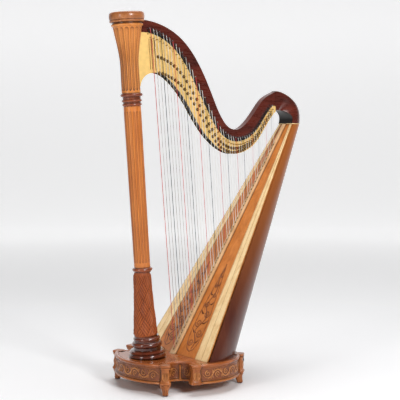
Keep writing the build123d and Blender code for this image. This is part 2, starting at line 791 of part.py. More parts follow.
def arm_rear_x(number):
    """The arms end a little behind the bowed back wall."""
    return back_wall_x(PEDAL_SLOT_Y[number]) + ARM_PAST_WALL


def arm_y(number, x):
    """A pedal arm fans out from its rod at the front to its slot at the back."""
    share = (x - ARM_FRONT_X) / (arm_rear_x(number) - ARM_FRONT_X)
    return between(rod_y(number), PEDAL_SLOT_Y[number], share)


def pedal(number):
    """A lever on the common axle, with a curled tip for the player's foot behind the base."""
    front = Vector(ARM_FRONT_X, arm_y(number, ARM_FRONT_X), ARM_FRONT_Z)
    pivot = Vector(AXLE_X, arm_y(number, AXLE_X), AXLE_Z)
    rear = Vector(arm_rear_x(number), PEDAL_SLOT_Y[number], ARM_REAR_Z)
    arm = bar(front, pivot) + bar(pivot, rear)
    arm += cross_bar(AXLE_X, AXLE_Z, pivot.Y - HUB_HALF_WIDTH, pivot.Y + HUB_HALF_WIDTH, HUB_RADIUS)
    arm -= cross_bar(AXLE_X, AXLE_Z, pivot.Y - 20, pivot.Y + 20, AXLE_RADIUS + RUNNING_GAP)
    curl = Plane.XZ * Spline((-4, -1), (12, 10), (26, 4), (28, -16), (20, -30),
                             tangents=((1, 0.5), (-1, -1)))
    section = Plane(origin=curl @ 0, x_dir=(0, 1, 0), z_dir=curl % 0) * RectangleRounded(
        PEDAL_TIP_WIDTH, PEDAL_TIP_THICK, 3)
    return arm + Pos(*rear) * sweep(section, path=curl)


def bar(start, end):
    """A flat arm on edge between two points."""
    along = end - start
    flat = Plane(origin=start, x_dir=Vector(along.X, along.Y, 0).cross(Vector(0, 0, 1)), z_dir=along)
    return flat * extrude(Rectangle(ARM_THICK, ARM_DEEP), along.length)


def pedal_rod(number):
    lean = radians(COLUMN_LEAN)
    above_arm = ARM_FRONT_Z + ARM_DEEP / 2 + 3
    start = column_point((above_arm - BASE_TOP) / cos(lean), rod_y(number))
    return round_bar(start, column_point(ROD_TOP, rod_y(number)), ROD_RADIUS)


def pedal_axle():
    """The common axle, with a bearing block at each end."""
    axle = cross_bar(AXLE_X, AXLE_Z, -AXLE_REACH, AXLE_REACH, AXLE_RADIUS)
    low = FOOT_TOP + FLOOR_THICK
    block = Box(24, 16, AXLE_Z - low + 10, align=(Align.CENTER, Align.CENTER, Align.MIN))
    return axle + [Pos(AXLE_X, side * AXLE_REACH, low) * block for side in (-1, 1)]


def pedal_slot_plate():
    """Brass liners on the back of the case, one round each pedal slot."""
    height = BASE_TOP - TOP_BOARD - FOOT_TOP - FLOOR_THICK
    skin = Pos(0, 0, FOOT_TOP + FLOOR_THICK) * extrude(outline_ring(1.5, 0), height)
    liners = []
    for number in range(7):
        inside = slot_block(number, SLOT_WIDTH, height - 2 * SLOT_MARGIN)
        frame = slot_block(number, SLOT_WIDTH + 2 * LINER_WIDTH, height) - inside
        liners.append(largest(frame & skin))
    return liners


def pedal_springs():
    """Return springs between the pedal arms and the top board."""
    springs = []
    high = BASE_TOP - TOP_BOARD - 1
    for number in range(7):
        share = (SPRING_X - AXLE_X) / (arm_rear_x(number) - AXLE_X)
        low = between(AXLE_Z, ARM_REAR_Z, share) + ARM_DEEP / 2 + 1.5
        coil = Helix(SPRING_PITCH, high - low, SPRING_RADIUS)
        wire = sweep(Plane(origin=coil @ 0, z_dir=coil % 0) * Circle(SPRING_WIRE_RADIUS), path=coil)
        springs.append(Pos(SPRING_X, arm_y(number, SPRING_X), low) * wire)
    return springs


# ================================================================== all sub-parts
def main():
    os.makedirs("parts", exist_ok=True)
    save("base_top", base_top())
    save("base_case", base_case())
    save("base_floor", base_floor())
    save("base_consoles", *base_consoles())
    save("base_feet", *base_feet())
    save("pedal_axle", pedal_axle())
    save("pedal_slot_plate", *pedal_slot_plate())
    save("pedal_springs", *pedal_springs())
    save("column_foot", column_foot())
    save("column_pedestal", column_pedestal())
    save("column_shaft", column_shaft())
    save("column_capital", column_capital())
    save("capital_cap", capital_cap())
    save("neck", neck())
    save("knee_block", knee_block())
    save("shoulder_trim", shoulder_trim())
    save("left_action_plate", left_action_plate())
    save("right_action_plate", right_action_plate())
    save("plate_screws", *plate_screws())
    save("tuning_pins", *tuning_pins())
    save("bridge_pins", *bridge_pins())
    save("fixed_discs", *fixed_discs())
    save("soundbox_shell", soundbox_shell())
    save("soundboard", soundboard())
    save("string_rib", string_rib())
    save("edge_strips", *edge_strips())
    save("soundbox_braces", *soundbox_braces())
    save("string_grommets", *string_grommets())
    wound = WOUND_STRINGS
    save("strings_red", *strings(lambda line: line.note == "c"))
    save("strings_black", *strings(lambda line: line.note == "f"))
    save("strings_wire", *strings(lambda line: line.note not in "cf" and line.number < wound))
    save("strings_gut", *strings(lambda line: line.note not in "cf" and line.number >= wound))
    for number, name in enumerate(PEDAL_NAMES):
        save(f"pedal_{name}", pedal(number))
        save(f"pedal_rod_{name}", pedal_rod(number))
    for line in LINES:
        if line.is_moving():
            save(f"natural_disc_{line.note}", disc(line.natural, line.disc_radius, RUNNING_GAP))
            save(f"sharp_disc_{line.note}", disc(line.sharp, line.disc_radius, RUNNING_GAP))


main()
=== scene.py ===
import json
import math

import bmesh
import bpy
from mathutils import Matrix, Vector

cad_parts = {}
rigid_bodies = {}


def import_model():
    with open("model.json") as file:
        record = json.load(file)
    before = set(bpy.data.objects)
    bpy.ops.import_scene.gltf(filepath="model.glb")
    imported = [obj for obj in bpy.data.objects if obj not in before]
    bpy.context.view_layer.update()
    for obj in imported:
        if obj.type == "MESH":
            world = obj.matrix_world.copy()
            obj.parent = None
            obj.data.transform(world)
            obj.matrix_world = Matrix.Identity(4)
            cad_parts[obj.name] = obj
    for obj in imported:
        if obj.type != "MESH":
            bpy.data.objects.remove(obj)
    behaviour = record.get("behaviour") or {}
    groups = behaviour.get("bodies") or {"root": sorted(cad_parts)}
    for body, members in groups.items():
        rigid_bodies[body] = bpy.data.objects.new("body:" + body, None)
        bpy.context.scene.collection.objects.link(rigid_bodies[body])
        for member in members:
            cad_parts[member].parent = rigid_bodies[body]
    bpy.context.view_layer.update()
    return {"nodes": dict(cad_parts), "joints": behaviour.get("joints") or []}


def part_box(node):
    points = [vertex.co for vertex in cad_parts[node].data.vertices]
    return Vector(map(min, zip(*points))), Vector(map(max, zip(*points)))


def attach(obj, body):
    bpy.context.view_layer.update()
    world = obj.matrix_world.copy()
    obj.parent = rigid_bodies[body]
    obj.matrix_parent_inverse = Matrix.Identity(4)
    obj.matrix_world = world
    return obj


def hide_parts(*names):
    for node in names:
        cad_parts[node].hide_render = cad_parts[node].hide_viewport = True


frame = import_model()

# Concert pedal harp, metres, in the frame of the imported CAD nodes. X runs from the column to the
# shoulder, -Y is the strings' side of the neck and Z is up.

NODES = frame["nodes"]
STATIC = frame["joints"][0]["parent"]
PLATE_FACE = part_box("left_action_plate")[0].y

# Plan of the base, seen from above: corners and the middles of its bowed sides.
FRONT_X = -0.520
FRONT_CORNER = (-0.428, 0.228)
WAIST = (-0.322, 0.199)
LOBE_CORNER = (-0.300, 0.306)
LOBE_SIDE = (-0.160, 0.330)
REAR_CORNER = (0.032, 0.196)
REAR_X = 0.078
BASE_TOP = 0.150

# Corner consoles: corner, degrees between the outer face and +X, half size, share of it at the top,
# how far they are pushed out, and how far the foot reaches. The lobe corners have no foot.
CONSOLES = (
    (FRONT_CORNER, 118, 0.0215, 0.92, -0.006, 0.5),
    (LOBE_CORNER, 105, 0.0225, 0.90, -0.008, 0.0),
    (REAR_CORNER, 44, 0.0260, 1.00, 0.000, 0.6),
)

# Carved panels of the base: heights, distance from the corners and length of one wave of the vine.
PANEL_LOW = 0.0740
PANEL_HIGH = 0.1330
PANEL_MARGIN = 0.028
PANEL_INSET = 0.004
BEAD_CLEARANCE = 0.010
CARVING_LIFT = 0.0016
WAVE_LENGTH = 0.056

# Column: heights along its leaning axis.
FLUTES = 16
PEDESTAL_LOW = 0.1125
PEDESTAL_HIGH = 0.4338
LOWER_RING_END = 0.4595
UPPER_RINGS_START = 1.2615
CAPITAL_LOW = 1.326

# Soundboard: foot of its middle line, direction up it, length and half widths.
BOARD_FOOT = Vector((-0.238, 0, 0.152))
BOARD_UP = Vector((0.726, 0, 1.177)).normalized()
BOARD_LENGTH = 1.383
BOARD_SET_BACK = 0.008
BOARD_FALL = 2.0
BOARD_HALF_BOTTOM = 0.284
BOARD_HALF_TOP = 0.055
STRIP_SHARE = (0.355, 0.31)
LINE_LIFT = 0.0018
ORNAMENT_LOW = (0.108, 0.035)
ORNAMENT_HIGH = (0.078, 0.530)
ORNAMENT_HALF = 0.054
LEAF_LIFT = 0.0005
STEM_LIFT = 0.0006

# Neck and action.
PIN_ABOVE_EDGE = 0.021
LEDGE_WIDTH = 0.016
DISC_THICK = 0.0025
LINK_PITCH = 0.024
SLEEVE_WIDTH = 0.020
MERGE_DISTANCE = 0.00001

# Studio: floor and wall, the glow of the paper with distance, and the camera fitted to the photo.
FLOOR_NEAR = -16.0
FLOOR_REACH = 9.0
FLOOR_HALF = 20.0
SWEEP = 3.0
WALL_HEIGHT = 14.0
FAR_GLOW = 0.46
GLOW_RANGE = (0.8, 8.0)
LENS = 95.1
CAMERA_PLACE = (-3.155, -4.505, 1.250)
CAMERA_DIP = 3.33
CAMERA_TURN = 34.43


# ---------- materials
def new_material(name):
    """An empty node material with a Principled shader."""
    material = bpy.data.materials.new(name)
    material.use_nodes = True
    tree = material.node_tree
    tree.nodes.clear()
    output = tree.nodes.new("ShaderNodeOutputMaterial")
    shader = tree.nodes.new("ShaderNodeBsdfPrincipled")
    tree.links.new(shader.outputs["BSDF"], output.inputs["Surface"])
    return material, tree, shader


def settle(node, settings):
    """Sets properties of a shader node, or the values of its inputs."""
    for key, value in settings.items():
        if hasattr(node, key):
            setattr(node, key, value)
        else:
            node.inputs[key].default_value = value


def add_node(tree, kind, **settings):
    """A shader node with some of its settings changed."""
    node = tree.nodes.new(kind)
    settle(node, settings)
    return node


def ramp_base(tree, shader, factor, stops):
    """Colours a shader by a ramp over a factor."""
    tree.links.new(color_ramp(tree, factor, stops), shader.inputs["Base Color"])


def color_ramp(tree, factor, stops):
    """A colour ramp over a factor, from (position, colour) stops."""
    node = tree.nodes.new("ShaderNodeValToRGB")
    elements = node.color_ramp.elements
    while len(elements) < len(stops):
        elements.new(0.5)
    for element, (position, color) in zip(elements, stops):
        element.position = position
        element.color = (*color, 1.0)
    tree.links.new(factor, node.inputs["Fac"])
    return node.outputs["Color"]


def texture(tree, kind, vector, **settings):
    """The value of a noise or wave texture."""
    node = add_node(tree, "ShaderNodeTex" + kind, **settings)
    if vector:
        tree.links.new(vector, node.inputs["Vector"])
    return node.outputs["Fac"]


def spread(tree, value, low, high, start=0.0, end=1.0):
    """Maps a value from start..end to low..high, held at both ends."""
    node = add_node(tree, "ShaderNodeMapRange")
    for label, number in (("From Min", start), ("From Max", end), ("To Min", low), ("To Max", high)):
        node.inputs[label].default_value = number
    tree.links.new(value, node.inputs["Value"])
    return node.outputs["Result"]


def mapped_coordinates(tree, scale, turn=(0, 0, 0)):
    """Object coordinates, scaled and turned."""
    coordinates = tree.nodes.new("ShaderNodeTexCoord")
    mapping = tree.nodes.new("ShaderNodeMapping")
    mapping.inputs["Scale"].default_value = scale
    mapping.inputs["Rotation"].default_value = turn
    tree.links.new(coordinates.outputs["Object"], mapping.inputs["Vector"])
    return mapping.outputs["Vector"]


def add_bump(tree, shader, height, strength, distance):
    """Fine relief from a height value, over the relief of the mesh."""
    bump = add_node(tree, "ShaderNodeBump", Strength=strength, Distance=distance)
    tree.links.new(height, bump.inputs["Height"])
    tree.links.new(bump.outputs["Normal"], shader.inputs["Normal"])


def wood(name, dark, middle, light, stretch, turn=(0, 0, 0), rough=0.32, coat=0.25,
         hollows=0.010, shade=0.30, fade=None):
    """Lacquered wood. stretch is the texture scale along each axis: small along the grain.

    Painted shade, from ambient occlusion, darkens hollows narrower than the given size. fade is (low
    height, high height, colour):
    the wood takes that colour towards the high end.
    """
    material, tree, shader = new_material(name)
    vector = mapped_coordinates(tree, stretch, turn)
    broad = texture(tree, "Noise", vector, Scale=1.0, Detail=6.0, Roughness=0.62, Distortion=0.6)
    fine = texture(tree, "Noise", vector, Scale=7.0, Detail=5.0, Roughness=0.7, Distortion=0.2)
    mix = add_node(tree, "ShaderNodeMix", data_type="FLOAT")
    mix.inputs[0].default_value = 0.25
    tree.links.new(broad, mix.inputs[2])
    tree.links.new(fine, mix.inputs[3])
    color = color_ramp(tree, mix.outputs[0], [(0.33, dark), (0.5, middle), (0.68, light)])
    if fade:
        color = faded(tree, color, *fade)
    # Painted shade: the colour is darkened in hollows by ambient occlusion.
    if hollows:
        color = painted_hollow_shade(tree, color, hollows, shade)
    tree.links.new(color, shader.inputs["Base Color"])
    tree.links.new(spread(tree, fine, rough * 0.8, rough * 1.35), shader.inputs["Roughness"])
    settle(shader, {"Coat Weight": coat, "Coat Roughness": 0.12, "Specular IOR Level": 0.3})
    add_bump(tree, shader, fine, 0.25, 0.0006)
    return material


def mixed_color(tree, factor, first, second, blend="MIX"):
    """Two colours mixed by a factor. Each is a socket or a value."""
    mix = tree.nodes.new("ShaderNodeMix")
    mix.data_type = "RGBA"
    mix.blend_type = blend
    for socket, value in ((mix.inputs[0], factor), (mix.inputs[6], first), (mix.inputs[7], second)):
        if isinstance(value, bpy.types.NodeSocket):
            tree.links.new(value, socket)
        elif socket == mix.inputs[0]:
            socket.default_value = value
        else:
            socket.default_value = (*value, 1.0)
    return mix.outputs[2]


def painted_hollow_shade(tree, color, size, shade):
    """Paints shade into a colour where the surface is hollow, from ambient occlusion."""
    hollow = add_node(tree, "ShaderNodeAmbientOcclusion", Distance=size)
    hollow.samples = 6
    low = (shade, shade * 0.82, shade * 0.72)
    tint = color_ramp(tree, hollow.outputs["AO"], [(0.58, low), (0.96, (1.0, 1.0, 1.0))])
    return mixed_color(tree, 1.0, color, tint, "MULTIPLY")


def faded(tree, color, low, high, far_color):
    """Mixes a colour towards another one with height."""
    coordinates = tree.nodes.new("ShaderNodeTexCoord")
    parts = tree.nodes.new("ShaderNodeSeparateXYZ")
    tree.links.new(coordinates.outputs["Object"], parts.inputs["Vector"])
    return mixed_color(tree, spread(tree, parts.outputs["Z"], 0.0, 1.0, low, high), color, far_color)


def metal(name, color, rough, variation=0.12, scale=60.0, metallic=1.0):
    """Metal with slightly uneven colour and polish."""
    material, tree, shader = new_material(name)
    vector = mapped_coordinates(tree, (1, 1, 1))
    noise = texture(tree, "Noise", vector, Scale=scale, Detail=4.0, Roughness=0.6)
    low = tuple(c * (1 - variation) for c in color)
    high = tuple(min(1.0, c * (1 + variation)) for c in color)
    ramp_base(tree, shader, noise, [(0.3, low), (0.7, high)])
    tree.links.new(spread(tree, noise, rough * 0.75, rough * 1.3), shader.inputs["Roughness"])
    shader.inputs["Metallic"].default_value = metallic
    add_bump(tree, shader, noise, 0.08, 0.0003)
    return material


def plain_string(name, dark, light):
    """Gut or nylon string with a faint change of colour along it."""
    material, tree, shader = new_material(name)
    noise = texture(tree, "Noise", mapped_coordinates(tree, (8, 8, 30)), Scale=3.0, Detail=3.0)
    ramp_base(tree, shader, noise, [(0.35, dark), (0.65, light)])
    settle(shader, {"Roughness": 0.35})
    add_bump(tree, shader, noise, 0.1, 0.0002)
    return material


def wound_string(name, dark, light):
    """Wire-wound bass string: fine turns across its length."""
    material, tree, shader = new_material(name)
    wave = texture(tree, "Wave", mapped_coordinates(tree, (1, 1, 1)), bands_direction="Z", Scale=400.0)
    ramp_base(tree, shader, wave, [(0.2, dark), (0.8, light)])
    settle(shader, {"Metallic": 0.85, "Roughness": 0.35})
    add_bump(tree, shader, wave, 0.4, 0.0004)
    return material


ALONG_Z = (22.0, 22.0, 1.6)
ALONG_X = (1.6, 22.0, 22.0)
UP_BOARD = (0, math.radians(-31.7), 0)
ON_BOARD = {"stretch": (24, 24, 1.2), "turn": UP_BOARD, "rough": 0.35, "coat": 0.35}

WOOD_COLUMN = wood("column_wood", (0.34, 0.088, 0.016), (0.58, 0.178, 0.034), (0.74, 0.27, 0.060), ALONG_Z,
                   hollows=0.016, shade=0.14)
WOOD_CAPITAL = wood("capital_wood", (0.40, 0.12, 0.022), (0.64, 0.22, 0.045), (0.80, 0.32, 0.078), ALONG_Z,
                    hollows=0.020, shade=0.12)
WOOD_CAP = wood("cap_wood", (0.19, 0.055, 0.014), (0.34, 0.115, 0.034), (0.48, 0.185, 0.062), ALONG_X)
WOOD_PEDESTAL = wood("pedestal_wood", (0.16, 0.031, 0.007), (0.33, 0.072, 0.016), (0.48, 0.125, 0.030),
                     ALONG_Z, rough=0.5, coat=0.0, hollows=0.012, shade=0.16)
WOOD_RINGS = wood("ring_wood", (0.11, 0.020, 0.005), (0.22, 0.045, 0.011), (0.34, 0.080, 0.020), ALONG_X,
                  rough=0.22, coat=0.7, hollows=0.012, shade=0.15)
WOOD_FOOT = wood("foot_wood", (0.05, 0.008, 0.003), (0.12, 0.020, 0.005), (0.19, 0.038, 0.009), ALONG_X,
                 rough=0.20, coat=1.0, hollows=0.016, shade=0.10)
WOOD_NECK = wood("neck_wood", (0.040, 0.006, 0.003), (0.085, 0.011, 0.005), (0.13, 0.020, 0.009),
                 (3, 20, 20), rough=0.26, coat=0.4)
WOOD_SHELL = wood("shell_wood", (0.062, 0.012, 0.006), (0.085, 0.018, 0.008), (0.11, 0.026, 0.010),
                  (9, 9, 1.5), (0, math.radians(-20), 0), rough=0.30, coat=0.3, hollows=0,
                  fade=(0.35, 1.45, (0.40, 0.12, 0.022)))
WOOD_BASE = wood("base_wood", (0.13, 0.036, 0.012), (0.27, 0.085, 0.026), (0.40, 0.145, 0.05), ALONG_X)
WOOD_TOP = wood("top_wood", (0.16, 0.040, 0.009), (0.32, 0.084, 0.018), (0.46, 0.135, 0.032), ALONG_X,
                rough=0.24, coat=0.4)
WOOD_RIM = wood("rim_wood", (0.18, 0.046, 0.011), (0.34, 0.098, 0.023), (0.48, 0.155, 0.040), ALONG_X)
WOOD_TRIM = wood("trim_wood", (0.22, 0.060, 0.014), (0.38, 0.118, 0.027), (0.52, 0.185, 0.048), ALONG_X)
WOOD_CONSOLE = wood("console_wood", (0.20, 0.050, 0.011), (0.38, 0.112, 0.024), (0.52, 0.175, 0.044),
                    ALONG_Z)
# The recessed ground of the carved panels is darker as painted shade.
WOOD_GROUND_SHADED = wood("ground_wood_shaded", (0.10, 0.025, 0.007), (0.22, 0.058, 0.016), (0.32, 0.092, 0.026), ALONG_X)
# The raised carving is lighter as a painted highlight.
WOOD_CARVING_LIT = wood("carving_wood_lit", (0.30, 0.095, 0.024), (0.52, 0.190, 0.052), (0.68, 0.29, 0.09), ALONG_X)
WOOD_BOARD = wood("board_wood", (0.44, 0.13, 0.022), (0.60, 0.195, 0.036), (0.72, 0.26, 0.058), **ON_BOARD)
WOOD_MAPLE = wood("maple", (0.72, 0.46, 0.20), (0.90, 0.65, 0.33), (0.96, 0.76, 0.44), **ON_BOARD)
WOOD_RIB = wood("rib_wood", (0.55, 0.30, 0.12), (0.76, 0.48, 0.24), (0.88, 0.62, 0.36), **ON_BOARD)
INLAY_DARK = wood("inlay_dark", (0.30, 0.12, 0.035), (0.46, 0.22, 0.075), (0.60, 0.32, 0.12),
                  (30, 30, 3), UP_BOARD)
INLAY_BROWN = wood("inlay_brown", (0.17, 0.046, 0.010), (0.27, 0.076, 0.017), (0.37, 0.112, 0.028),
                   (30, 30, 6), UP_BOARD)
# Black that stands for painted shade: under the neck, in the knee's hollow, on the far plate's inner face,
# beside the tuning pins and round the discs.
SHADE_BLACK = wood("painted_shade_black", (0.004, 0.003, 0.003), (0.009, 0.006, 0.005), (0.020, 0.013, 0.010),
             (8, 30, 30), coat=0.3)
BRASS = metal("plate_brass", (0.90, 0.60, 0.20), 0.42, 0.08, 40.0, metallic=0.35)
BRASS_PALE = metal("pale_brass", (0.82, 0.68, 0.42), 0.32, 0.10, 60.0)
# Dark brass for screws, pins, grommets and discs; on the discs the darkness also stands in as painted dark
# reflection.
BRASS_DARK_AND_REFLECTION = metal("disc_brass", (0.30, 0.16, 0.045), 0.28)
STEEL = metal("steel", (0.66, 0.66, 0.68), 0.20)
RUBBER = wood("rubber", (0.006, 0.005, 0.005), (0.012, 0.010, 0.009), (0.024, 0.019, 0.017),
              (40, 40, 40), coat=0.1)
STRING_RED = plain_string("red_string", (0.42, 0.03, 0.04), (0.6, 0.07, 0.07))
STRING_BLACK = plain_string("black_string", (0.012, 0.014, 0.018), (0.035, 0.04, 0.045))
STRING_GUT = plain_string("gut_string", (0.62, 0.60, 0.56), (0.78, 0.76, 0.72))
STRING_WIRE = wound_string("wire_string", (0.40, 0.38, 0.36), (0.66, 0.64, 0.61))

FINISHES = {
    "base_top": WOOD_TOP, "base_case": WOOD_BASE, "base_floor": WOOD_TRIM, "base_consoles": WOOD_CONSOLE,
    "base_feet": WOOD_CONSOLE, "pedal_axle": STEEL, "pedal_slot_plate": BRASS, "pedal_springs": STEEL,
    "column_foot": WOOD_FOOT, "column_pedestal": WOOD_PEDESTAL, "column_shaft": WOOD_COLUMN,
    "column_capital": WOOD_CAPITAL, "capital_cap": WOOD_CAP, "neck": WOOD_NECK,
    "knee_block": WOOD_NECK, "shoulder_trim": WOOD_MAPLE, "left_action_plate": BRASS,
    "right_action_plate": BRASS, "plate_screws": BRASS_DARK_AND_REFLECTION, "tuning_pins": STEEL,
    "bridge_pins": BRASS_DARK_AND_REFLECTION, "fixed_discs": BRASS_DARK_AND_REFLECTION, "soundbox_shell": WOOD_SHELL,
    "soundboard": WOOD_BOARD, "string_rib": WOOD_RIB, "edge_strips": WOOD_MAPLE,
    "soundbox_braces": STEEL, "string_grommets": BRASS_DARK_AND_REFLECTION, "strings_red": STRING_RED,
    "strings_black": STRING_BLACK, "strings_wire": STRING_WIRE, "strings_gut": STRING_GUT,
}


def finish_node(name):
    """The material of a carried-over CAD node."""
    if name in FINISHES:
        return FINISHES[name]
    if name.startswith("pedal_rod"):
        return STEEL
    return BRASS_DARK_AND_REFLECTION


def paint_nodes():
    """Gives every CAD node its material."""
    for name, node in NODES.items():
        node.data.materials.clear()
        node.data.materials.append(finish_node(name))


# ---------- mesh helpers
def place_object(name, data):
    """A new object in the scene."""
    thing = bpy.data.objects.new(name, data)
    bpy.context.scene.collection.objects.link(thing)
    return thing


class Form:
    """Points and faces of one piece while it is being made."""

    def __init__(self):
        self.points = []
        self.faces = []

    def grid(self, rows, around=False, loop=False, capped=False):
        """Quads between rows of points. around closes each row, loop joins the last row to the first."""
        start = len(self.points)
        count = len(rows[0])
        for row in rows:
            self.points.extend(tuple(point) for point in row)
        pairs = len(rows) if loop else len(rows) - 1
        steps = count if around else count - 1
        for i in range(pairs):
            low = start + i * count
            high = start + ((i + 1) % len(rows)) * count
            for j in range(steps):
                k = (j + 1) % count
                self.faces.append((low + j, low + k, high + k, high + j))
        if capped:
            self.faces.append(tuple(start + j for j in reversed(range(count))))
            last = start + (len(rows) - 1) * count
            self.faces.append(tuple(last + j for j in range(count)))

    def skin(self, rows):
        """A closed solid through rows of points that each go once round it."""
        self.grid(rows, around=True, capped=True)

    def tube(self, path, radii, sides=8, flat=1.0, flat_axis=None):
        """A round or flattened tube along a path. radii is one radius per point of the path."""
        rows = []
        for i, point in enumerate(path):
            along = heading(path, i)
            guide = flat_axis[i] if flat_axis else Vector((0, 1, 0))
            if abs(along.dot(guide)) > 0.95:
                guide = Vector((0, 0, 1))
            side = along.cross(guide).normalized()
            lift = side.cross(along).normalized()
            side *= radii[i]
            lift *= radii[i] * flat
            rows.append([point + side * math.cos(angle) + lift * math.sin(angle)
                         for angle in round_angles(sides)])
        self.skin(rows)

    def make(self, name, material, body=STATIC, replaces=(), smooth=True):
        """Turns the form into a named piece that rides on a body."""
        mesh = bpy.data.meshes.new(name)
        mesh.from_pydata(self.points, [], self.faces)
        form = bmesh.new()
        form.from_mesh(mesh)
        bmesh.ops.remove_doubles(form, verts=form.verts, dist=MERGE_DISTANCE)
        bmesh.ops.recalc_face_normals(form, faces=form.faces)
        form.to_mesh(mesh)
        form.free()
        mesh.materials.append(material)
        if smooth:
            mesh.shade_smooth()
            mesh.set_sharp_from_angle(angle=math.radians(40))
        piece = place_object(name, mesh)
        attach(piece, body)
        if replaces:
            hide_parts(*replaces)


def heading(path, i):
    """The direction of a path at one of its points."""
    before = Vector(path[max(i - 1, 0)])
    after = Vector(path[min(i + 1, len(path) - 1)])
    return (after - before).normalized()


def between(a, b, share):
    """The value at a share of the way from a to b."""
    return a + (b - a) * share


def smooth_step(low, high, value):
    """Rises smoothly from 0 at low to 1 at high."""
    share = min(1.0, max(0.0, (value - low) / (high - low)))
    return share * share * (3 - 2 * share)


def round_angles(count):
    """Evenly spaced angles, once round."""
    return [2 * math.pi * i / count for i in range(count)]


def squared(angle, power):
    """A point of the unit circle pushed out towards a square. A smaller power is squarer."""
    c = math.cos(angle)
    s = math.sin(angle)
    return math.copysign(abs(c) ** power, c), math.copysign(abs(s) ** power, s)


def middle(box):
    """The middle of a box."""
    return (box[0] + box[1]) / 2


def solids_of(name):
    """Boxes of the separate solids in one CAD node."""
    form = bmesh.new()
    form.from_mesh(NODES[name].data)
    bmesh.ops.remove_doubles(form, verts=form.verts, dist=MERGE_DISTANCE)
    left = set(form.verts)
    boxes = []
    while left:
        seed = left.pop()
        found = [seed]
        for vertex in found:
            for edge in vertex.link_edges:
                other = edge.other_vert(vertex)
                if other in left:
                    left.discard(other)
                    found.append(other)
        low = Vector([min(v.co[k] for v in found) for k in range(3)])
        high = Vector([max(v.co[k] for v in found) for k in range(3)])
        boxes.append((low, high))
    form.free()
    return sorted(boxes, key=lambda box: box[0].x)


# ---------- column
def column_axis():
    """Where the column's axis meets the base, and its leaning direction."""
    high = middle(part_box("capital_cap"))
    low = middle(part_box("column_shaft"))
    along = (high - low).normalized()
    foot = low + along * ((BASE_TOP - low.z) / along.z)
    return foot, along


def turned_piece(name, material, replaces, profile, sides, relief=None):
    """A piece turned about the column's axis. profile gives (radius, height) pairs, in metres."""
    foot, along = column_axis()
    side = Vector((0, 1, 0)).cross(along).normalized()
    across = along.cross(side)
    rows = []
    for radius, height in profile:
        row = []
        for angle in round_angles(sides):
            out = radius + (relief(angle, height) if relief else 0.0)
            row.append(foot + along * height + (side * math.cos(angle) + across * math.sin(angle)) * out)
        rows.append(row)
    form = Form()
    form.skin(rows)
    form.make(name, material, replaces=replaces)


def spiral(size, shrink, turns, first, way, steps):
    """A spiral that loses a share of its size on the way in, as (x, y) points."""
    points = []
    for i in range(steps + 1):
        angle = first + way * 2 * math.pi * turns * i / steps
        radius = size * (1 - shrink * i / steps)
        points.append((radius * math.cos(angle), radius * math.sin(angle)))
    return points


def curve_through(points, steps):
    """A smooth run of pairs of numbers through the given ones."""
    run = []
    for i in range(len(points) - 1):
        p0 = points[max(i - 1, 0)]
        p1 = points[i]
        p2 = points[i + 1]
        p3 = points[min(i + 2, len(points) - 1)]
        for step in range(steps):
            t = step / steps
            pair = []
            for a, b, c, d in zip(p0, p1, p2, p3):
                pair.append(0.5 * (2 * b + (c - a) * t + (2 * a - 5 * b + 4 * c - d) * t ** 2
                                   + (3 * b - a - 3 * c + d) * t ** 3))
            run.append(tuple(pair))
    run.append(points[-1])
    return run


def round_edge(radius, height, bulge, half, step=15):
    """Profile of a half-round moulding that stands out by bulge, in steps of some degrees."""
    turns = [math.radians(degrees) for degrees in range(-90, 91, step)]
    return [(radius + bulge * math.cos(turn), height + half * math.sin(turn)) for turn in turns]


def make_capital():
    """The flared capital: hollow flutes with round tops, and bright ridges between them."""
    flute_low, flute_high = 1.338, 1.645
    round_end = 0.010
    flute_share = 0.78
    depth = 0.0062
    flare = curve_through([(0.0470, CAPITAL_LOW), (0.0468, 1.366), (0.0462, 1.439), (0.0472, 1.488),
                           (0.0530, 1.538), (0.0610, 1.586), (0.0668, 1.617), (0.0706, 1.642),
                           (0.0722, 1.650)], 24)
    top = round_edge(0.0738, 1.6580, 0.0050, 0.0065) + [(0.0735, 1.6660)]

    def flutes(angle, height):
        if height < flute_low or height > flute_high:
            return 0.0
        across = abs((angle * FLUTES / (2 * math.pi)) % 1.0 - 0.5) * 2
        to_end = min(height - flute_low, flute_high - height)
        width = flute_share * math.sqrt(max(0.0, 1 - max(0.0, 1 - to_end / round_end) ** 2))
        if across >= width:
            return 0.0
        return -depth * math.sqrt(1 - (across / max(width, 0.01)) ** 2)

    turned_piece("capital", WOOD_CAPITAL, ["column_capital"], flare + top, FLUTES * 18, flutes)


def make_cap():
    """The plain turned cap with rounded edges over a dark groove."""
    groove = [(0.0700, 1.6650), (0.0700, 1.6700)]
    body = [(0.0800, 1.6712)] + round_edge(0.0830, 1.6770, 0.0035, 0.0050)
    body += [(0.0845, 1.6830), (0.0868, 1.6900), (0.0874, 1.6990), (0.0868, 1.7080)]
    body += [(0.0852, 1.7140), (0.0820, 1.7182), (0.0770, 1.7205), (0.0600, 1.7212), (0.0300, 1.7217)]
    turned_piece("cap", WOOD_CAP, ["capital_cap"], groove + body, 128)


